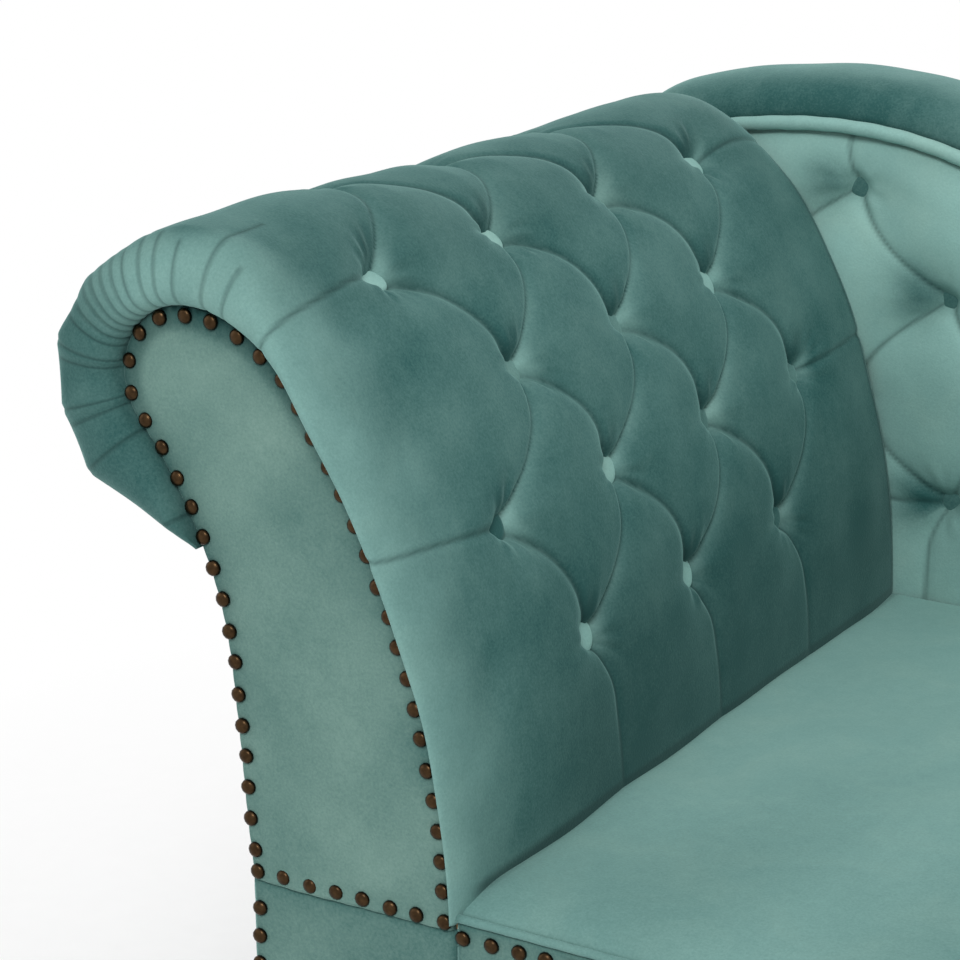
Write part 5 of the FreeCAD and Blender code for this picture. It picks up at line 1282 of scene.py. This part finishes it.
def dome_mesh(name, rings, sides, profile, crown_power=1.0):
    """A low round head on its own axis, of unit radius and unit height, with its height as an attribute."""
    outline = [profile(index / rings) for index in range(rings)]
    points = [(radius * math.cos(turn), radius * math.sin(turn), height)
              for radius, height in outline for turn in round_turns(sides)]
    top = len(points) - sides
    faces = [list(range(sides))[::-1]] + tube_faces(rings, sides)
    faces += [[top + side, top + (side + 1) % sides, top + sides] for side in range(sides)]
    mesh = bpy.data.meshes.new(name)
    mesh.from_pydata(points + [(0, 0, 1.0)], [], faces)
    set_values(mesh, "crown", [height ** crown_power for _, height in outline for _ in range(sides)] + [1.0])
    mesh.polygons.foreach_set("use_smooth", [True] * len(mesh.polygons))
    return mesh


def scatter_tree(name):
    """A tree that stands a head on every point, turned to its direction, with named sizes."""
    tree = bpy.data.node_groups.new(name, "GeometryNodeTree")
    for title, kind in (("Geometry", "Geometry"), ("Head", "Object"), ("Diameter", "Float"),
                        ("Height", "Float"), ("Spread", "Float"), ("Seed", "Int"), ("Material", "Material")):
        tree.interface.new_socket(title, in_out="INPUT", socket_type="NodeSocket" + kind)
    tree.interface.new_socket("Geometry", in_out="OUTPUT", socket_type="NodeSocketGeometry")
    source = add(tree, "NodeGroupInput").outputs
    head = add(tree, "GeometryNodeObjectInfo", {"Object": source["Head"]}, "Geometry")
    way = add(tree, "GeometryNodeInputNamedAttribute", {"Name": "way"}, 0, data_type="FLOAT_VECTOR")
    turned = add(tree, "FunctionNodeAlignRotationToVector", {"Vector": way}, 0, axis="Z")
    least, most = (add(tree, "ShaderNodeVectorMath", {0: (sign, sign, SPIN_SHARE * sign),
                                                      "Scale": source["Spread"]}, 0, operation="SCALE")
                   for sign in (-1, 1))
    tilt = add(tree, "FunctionNodeRandomValue", {0: least, 1: most, "Seed": source["Seed"]}, 0,
               data_type="FLOAT_VECTOR")
    as_turn = add(tree, "FunctionNodeEulerToRotation", {"Euler": tilt}, 0)
    tipped = add(tree, "FunctionNodeRotateRotation", {"Rotation": turned, "Rotate By": as_turn}, 0,
                 rotation_space="LOCAL")
    radius = add(tree, "ShaderNodeMath", {0: source["Diameter"], 1: 0.5}, 0, operation="MULTIPLY")
    scale = add(tree, "ShaderNodeCombineXYZ", {"X": radius, "Y": radius, "Z": source["Height"]}, 0)
    placed = add(tree, "GeometryNodeInstanceOnPoints", {"Points": source["Geometry"], "Instance": head,
                                                        "Rotation": tipped, "Scale": scale}, 0)
    real = add(tree, "GeometryNodeRealizeInstances", {"Geometry": placed}, 0)
    dressed = add(tree, "GeometryNodeSetMaterial", {"Geometry": real, "Material": source["Material"]}, 0)
    add(tree, "NodeGroupOutput", {"Geometry": dressed})
    return tree


def scatter(name, places, ways, head, diameter, height, turn, seed, slot, node):
    """Stand heads on places in millimetres through the tree, and keep the result as a plain mesh."""
    tree = bpy.data.node_groups.get("heads_on_points") or scatter_tree("heads_on_points")
    mesh = bpy.data.meshes.new(name + "_places")
    mesh.from_pydata((np.asarray(places) * MM + CORNER).tolist(), [], [])
    way = mesh.attributes.new("way", "FLOAT_VECTOR", "POINT")
    way.data.foreach_set("vector", np.asarray(ways, dtype=np.float32).ravel())
    holder, pattern = placed_object(name + "_places", mesh), placed_object(name + "_head", head)
    modifier = holder.modifiers.new("heads", "NODES")
    modifier.node_group = tree
    wanted = {"Head": pattern, "Diameter": diameter * MM, "Height": height * MM, "Spread": turn, "Seed": seed,
              "Material": finish(slot)}
    for item in tree.interface.items_tree:
        if item.in_out == "INPUT" and item.name in wanted:
            modifier[item.identifier] = wanted[item.name]
    graph = bpy.context.evaluated_depsgraph_get()
    made = bpy.data.meshes.new_from_object(holder.evaluated_get(graph), depsgraph=graph)
    made.name = name
    for item in (holder, pattern):
        bpy.data.objects.remove(item)
    made.materials.clear()
    made.materials.append(finish(slot))
    return settle(name, made, [node])


def nail_profile(share):
    """Radius and height of a domed nail head with a thin rim."""
    if share == 0:
        return 1.0, 0.0
    turn = share * QUARTER
    return math.cos(turn) ** 0.8, 0.16 + 0.84 * math.sin(turn)


def button_profile(share):
    """Radius and height of a covered button: a soft shallow dome."""
    if share == 0:
        return 0.86, -0.5
    turn = (share - 0.15) / 0.85 * QUARTER
    return math.cos(turn) ** 0.5, 0.1 + 0.9 * math.sin(turn)


class CHAISE_OT_nails(bpy.types.Operator):
    """Set the antique nails round the arm panel and under the seat"""
    bl_idname = "chaise.nails"
    bl_label = "Nail trim"

    def execute(self, context):
        head = dome_mesh("nail_head", sizes().nail_rings, NAIL_FACETS, nail_profile, 0.7)
        random = np.random.default_rng(101)
        places = {"arm": [(x, NAIL_SINK, z) for x, z in arm_nail_places()],
                  "front": [(x, NAIL_SINK, SEAT_NAIL_LEVEL) for x in front_nail_line()],
                  "foot": [(SEAT_LENGTH - NAIL_SINK, y, SEAT_NAIL_LEVEL) for y in foot_nail_line()]}
        for seed, (side, row) in enumerate(places.items()):
            way = (1, 0, 0) if side == "foot" else (0, -1, 0)
            stray = random.normal(0, NAIL_STRAY, (len(row), 3))
            stray[:, np.flatnonzero(way)] = 0
            scatter(side + "_nail_heads", row + stray, np.tile(way, (len(row), 1)), head, sizes().nail_size,
                    NAIL_HEIGHT, NAIL_TURN, seed, "antique_nail", side + "_nails")
        return {"FINISHED"}


class CHAISE_OT_buttons(bpy.types.Operator):
    """Set the covered buttons in the arm and the back"""
    bl_idname = "chaise.buttons"
    bl_label = "Covered buttons"

    def execute(self, context):
        self.arm(self.head("pale_button_head", BUTTON_TONE))
        self.back(self.head("dark_button_head", BACK_BUTTON_TONE))
        return {"FINISHED"}

    def head(self, name, tone):
        """A button's head in one tone of its velvet."""
        mesh = dome_mesh(name, BUTTON_RINGS, BUTTON_FACETS, button_profile)
        set_values(mesh, "nap", tone)
        set_values(mesh, "fold", 0.0)
        return mesh

    def arm(self, head):
        """The arm's buttons on the pad's own skin, the shaded ones deeper, each with its tone: pale ones
        partly painted highlight, shaded ones darker as painted shade.
        """
        _, skin, _, (out, at, skin_depth) = arm_rings()
        places, ways = [], []
        for depth, distance in (arm_place(*node) for node in ARM_BUTTONS):
            station = int(np.argmin(np.abs(at - distance)))
            places.append(skin[station, int(np.argmin(np.abs(skin_depth[station] - depth)))])
            ways.append((out[station, 0], 0, out[station, 1]))
        tones = np.array([SHADED_BUTTONS.get(node, BUTTON_TONE) for node in ARM_BUTTONS])
        lifts = np.where(tones == BUTTON_TONE, BUTTON_LIFT, SHADED_LIFT)
        made = scatter("arm_button_velvet", places + np.array(ways) * lifts[:, None], ways, head,
                       sizes().button_size * ARM_BUTTON_SHARE, ARM_BUTTON_HEIGHT, BUTTON_TURN, 3,
                       "button_velvet", "arm_buttons")
        set_values(made.data, "nap", np.repeat(tones, len(made.data.vertices) // len(places)))

    def back(self, head):
        y = extent("back_pad")[0][1] + sizes().back_tuft_depth * BACK_BUTTON_SINK + BUTTON_LIFT
        places = [(x, y, z) for x, z in (back_place(*node) for node in back_buttons())]
        scatter("back_button_velvet", places, np.tile((0, -1, 0.0), (len(places), 1)), head,
                sizes().button_size, BACK_BUTTON_HEIGHT, BUTTON_TURN, 4, "button_velvet", "back_buttons")


# Legs and the pieces that stay as the frame has them

# Radii of the turned leg by their share of its height
LEG_PROFILE = ((0.0, 15.5), (0.012, 17.0), (0.05, 17.0), (0.075, 16.0), (0.105, 13.8), (0.135, 13.5),
               (0.19, 14.4), (0.30, 18.6), (0.42, 23.4), (0.52, 27.0), (0.585, 28.8), (0.64, 28.9),
               (0.685, 26.8), (0.715, 22.5), (0.735, 19.4), (0.75, 19.2), (0.757, 22.0), (0.77, 27.2),
               (0.785, 29.0), (0.80, 28.6), (0.815, 25.0), (0.825, 20.0), (0.84, 18.9), (0.865, 19.4),
               (0.885, 22.5), (0.90, 28.0), (0.915, 30.6), (0.93, 31.0), (1.0, 31.0))
LEG_SIDES = 48


def turned_rings(centre, outline):
    """Rings of a turned piece on an upright axis, from its outline as (height, radius)."""
    return np.array([[(centre[0] + radius * math.cos(turn), centre[1] + radius * math.sin(turn), height)
                      for turn in round_turns(LEG_SIDES)] for height, radius in outline])


class CHAISE_OT_legs(bpy.types.Operator):
    """Turn the four legs and their glides"""
    bl_idname = "chaise.legs"
    bl_label = "Legs and glides"

    def execute(self, context):
        base, top = (corner[2] for corner in extent("leg_glides"))
        glide = ((base, 8.6), (base + 0.8, 9.6), (base + 4.6, 11.9), (top, 12.0))
        points, faces = [], []
        for place in ("head_front", "foot_front", "foot_rear", "head_rear"):
            node = place + "_leg"
            low, high = extent(node)
            centre = (low + high) / 2
            rings = turned_rings(centre, [(low[2] + share * (high[2] - low[2]), radius)
                                          for share, radius in LEG_PROFILE])
            ring_solid(place + "_leg_turned", rings, "turned_leg_wood", [node])
            faces += [[corner + len(points) for corner in face]
                      for face in closed_faces(len(glide), LEG_SIDES)]
            points += turned_rings(centre, glide).reshape(-1, 3).tolist()
        new_piece("moulded_glides", points, faces, "glide_plastic", ["leg_glides"])
        return {"FINISHED"}


class CHAISE_OT_frame_finish(bpy.types.Operator):
    """Finish the wood, webbing, foam and hardware that stay as the frame has them"""
    bl_idname = "chaise.frame_finish"
    bl_label = "Frame finishes"

    def execute(self, context):
        slots = {item["node"]: item["material_slot"] for item in frame["record"]["subparts"]}
        for node, piece in frame["nodes"].items():
            piece.data.materials.clear()
            piece.data.materials.append(finish(slots.get(node, node)))
        return {"FINISHED"}


# Stage: the camera in millimetres from the seat corner, floor and lamps in metres

CORNER_VIEW = (749, -1215, 695)
VIEW_AHEAD = (-0.493, 0.817, -0.298)
LENS_MM, SENSOR_MM = 107.96, 36
FLOOR_RADIUS, FLOOR_SIDES = 14.0, 96
FLOOR_SPECKLE_MM = 25
PIECE_REACH, SHADOW_REACH = 0.85, 1.7
WHITE = (1, 1, 1, 1)
LAMP_AIM = (-0.3, 0, 0.5)
# Lamps as (name, place, size, watts)
LAMPS = (("key", (0.6, -3.1, 3.0), 1.5, 86), ("fill", (-3.2, -1.6, 1.6), 2.4, 13),
         ("top", (0.6, 0.3, 3.4), 2.2, 20), ("rear", (-0.8, 3.2, 2.4), 2.2, 34))


def rays_to_eye(tree):
    """1 for rays that reach the camera, straight or by a mirror or glass, and 0 for those that only light."""
    rays = add(tree, "ShaderNodeLightPath").outputs
    seen = rays["Is Camera Ray"]
    for kind in ("Is Glossy Ray", "Is Transmission Ray"):
        seen = add(tree, "ShaderNodeMath", {0: seen, 1: rays[kind]}, 0, operation="MAXIMUM")
    return seen


def point_at(item, place, ahead):
    """Stand a lamp or a camera on a place and turn it to a direction."""
    item.location = place
    item.rotation_mode = "QUATERNION"
    item.rotation_quaternion = Vector(ahead).to_track_quat("-Z", "Y")


def white_floor():
    """Matt white studio paper: it takes the piece's shadow, and far out it fades into the white behind it."""
    def shade(tree, place):
        speckle = add(tree, "ShaderNodeTexNoise", {"Vector": place, "Scale": per_metre(FLOOR_SPECKLE_MM)},
                      "Fac")
        colour = add(tree, "ShaderNodeMix", {SHARE: speckle, FIRST: hex_colour("#f4f4f4"),
                                             SECOND: hex_colour("#fafafa")}, RESULT, data_type="RGBA")
        matt = add(tree, "ShaderNodeBsdfPrincipled", {"Base Color": colour, "Roughness": 0.8}, "BSDF")
        lit = add(tree, "ShaderNodeEmission", {"Color": WHITE, "Strength": 1.0}, 0)
        reach = add(tree, "ShaderNodeVectorMath", {0: place}, "Value", operation="LENGTH")
        far = add(tree, "ShaderNodeMapRange", {"Value": reach, "From Min": PIECE_REACH,
                                               "From Max": SHADOW_REACH}, "Result")
        share = add(tree, "ShaderNodeMath", {0: rays_to_eye(tree), 1: far}, 0, operation="MULTIPLY")
        return {0: share, 1: matt, 2: lit}
    return made_once("matt_white_floor", shade, "ShaderNodeMixShader")


class CHAISE_OT_stage(bpy.types.Operator):
    """Set the floor, the soft studio light and the camera"""
    bl_idname = "chaise.stage"
    bl_label = "Stage"

    def execute(self, context):
        scene = context.scene
        scene.view_settings.view_transform = "Standard"
        self.floor()
        self.world(scene)
        for name, place, size, power in LAMPS:
            lamp = bpy.data.lights.new(name, "AREA")
            lamp.shape, lamp.size, lamp.energy = "DISK", size, power
            point_at(placed_object(name, lamp), place, Vector(LAMP_AIM) - Vector(place))
        camera = placed_object("photo_camera", bpy.data.cameras.new("photo_camera"))
        point_at(camera, np.array(CORNER_VIEW) * MM + CORNER, VIEW_AHEAD)
        camera.data.lens, camera.data.sensor_width = LENS_MM, SENSOR_MM
        camera.data.clip_start, camera.data.clip_end = 0.05, 60
        scene.camera = camera
        return {"FINISHED"}

    def floor(self):
        """A pale floor that reads as white to the camera and keeps the piece's shadow."""
        mesh = bpy.data.meshes.new("studio_floor")
        mesh.from_pydata([(FLOOR_RADIUS * math.cos(turn), FLOOR_RADIUS * math.sin(turn), 0)
                          for turn in round_turns(FLOOR_SIDES)], [], [list(range(FLOOR_SIDES))])
        mesh.materials.append(white_floor())
        placed_object("studio_floor", mesh)

    def world(self, scene):
        """A soft white sky that looks plain white."""
        world = bpy.data.worlds.new("studio_world")
        world.use_nodes = True
        tree = world.node_tree
        tree.nodes.clear()
        soft, white = (add(tree, "ShaderNodeBackground", {"Color": WHITE, "Strength": strength}, 0)
                       for strength in (0.5, 1.0))
        mixed = add(tree, "ShaderNodeMixShader", {0: rays_to_eye(tree), 1: soft, 2: white}, 0)
        add(tree, "ShaderNodeOutputWorld", {"Surface": mixed})
        scene.world = world


PIECES = (CHAISE_OT_frame_finish, CHAISE_OT_arm_pad, CHAISE_OT_arm_covers, CHAISE_OT_seat, CHAISE_OT_borders,
          CHAISE_OT_back_pad, CHAISE_OT_crest, CHAISE_OT_nails, CHAISE_OT_buttons, CHAISE_OT_legs,
          CHAISE_OT_stage)


class CHAISE_PT_panel(bpy.types.Panel):
    """Sizes, colours and builders of the chaise longue"""
    bl_idname = "CHAISE_PT_panel"
    bl_label = "Chaise longue"
    bl_space_type = "VIEW_3D"
    bl_region_type = "UI"
    bl_category = "Chaise"

    def draw(self, context):
        for group in (context.scene.chaise_sizes, context.scene.chaise_colours):
            box = self.layout.box()
            for key in group.__annotations__:
                box.prop(group, key)
        for piece in PIECES:
            self.layout.operator(piece.bl_idname)


CLASSES = (ChaiseSizes, ChaiseColours) + PIECES + (CHAISE_PT_panel,)


def register():
    for item in CLASSES:
        bpy.utils.register_class(item)
    bpy.types.Scene.chaise_sizes = PointerProperty(type=ChaiseSizes)
    bpy.types.Scene.chaise_colours = PointerProperty(type=ChaiseColours)


def unregister():
    del bpy.types.Scene.chaise_colours
    del bpy.types.Scene.chaise_sizes
    for item in reversed(CLASSES):
        bpy.utils.unregister_class(item)


def main():
    register()
    for piece in PIECES:
        group, name = piece.bl_idname.split(".")
        getattr(getattr(bpy.ops, group), name)()


if __name__ == "__main__":
    main()
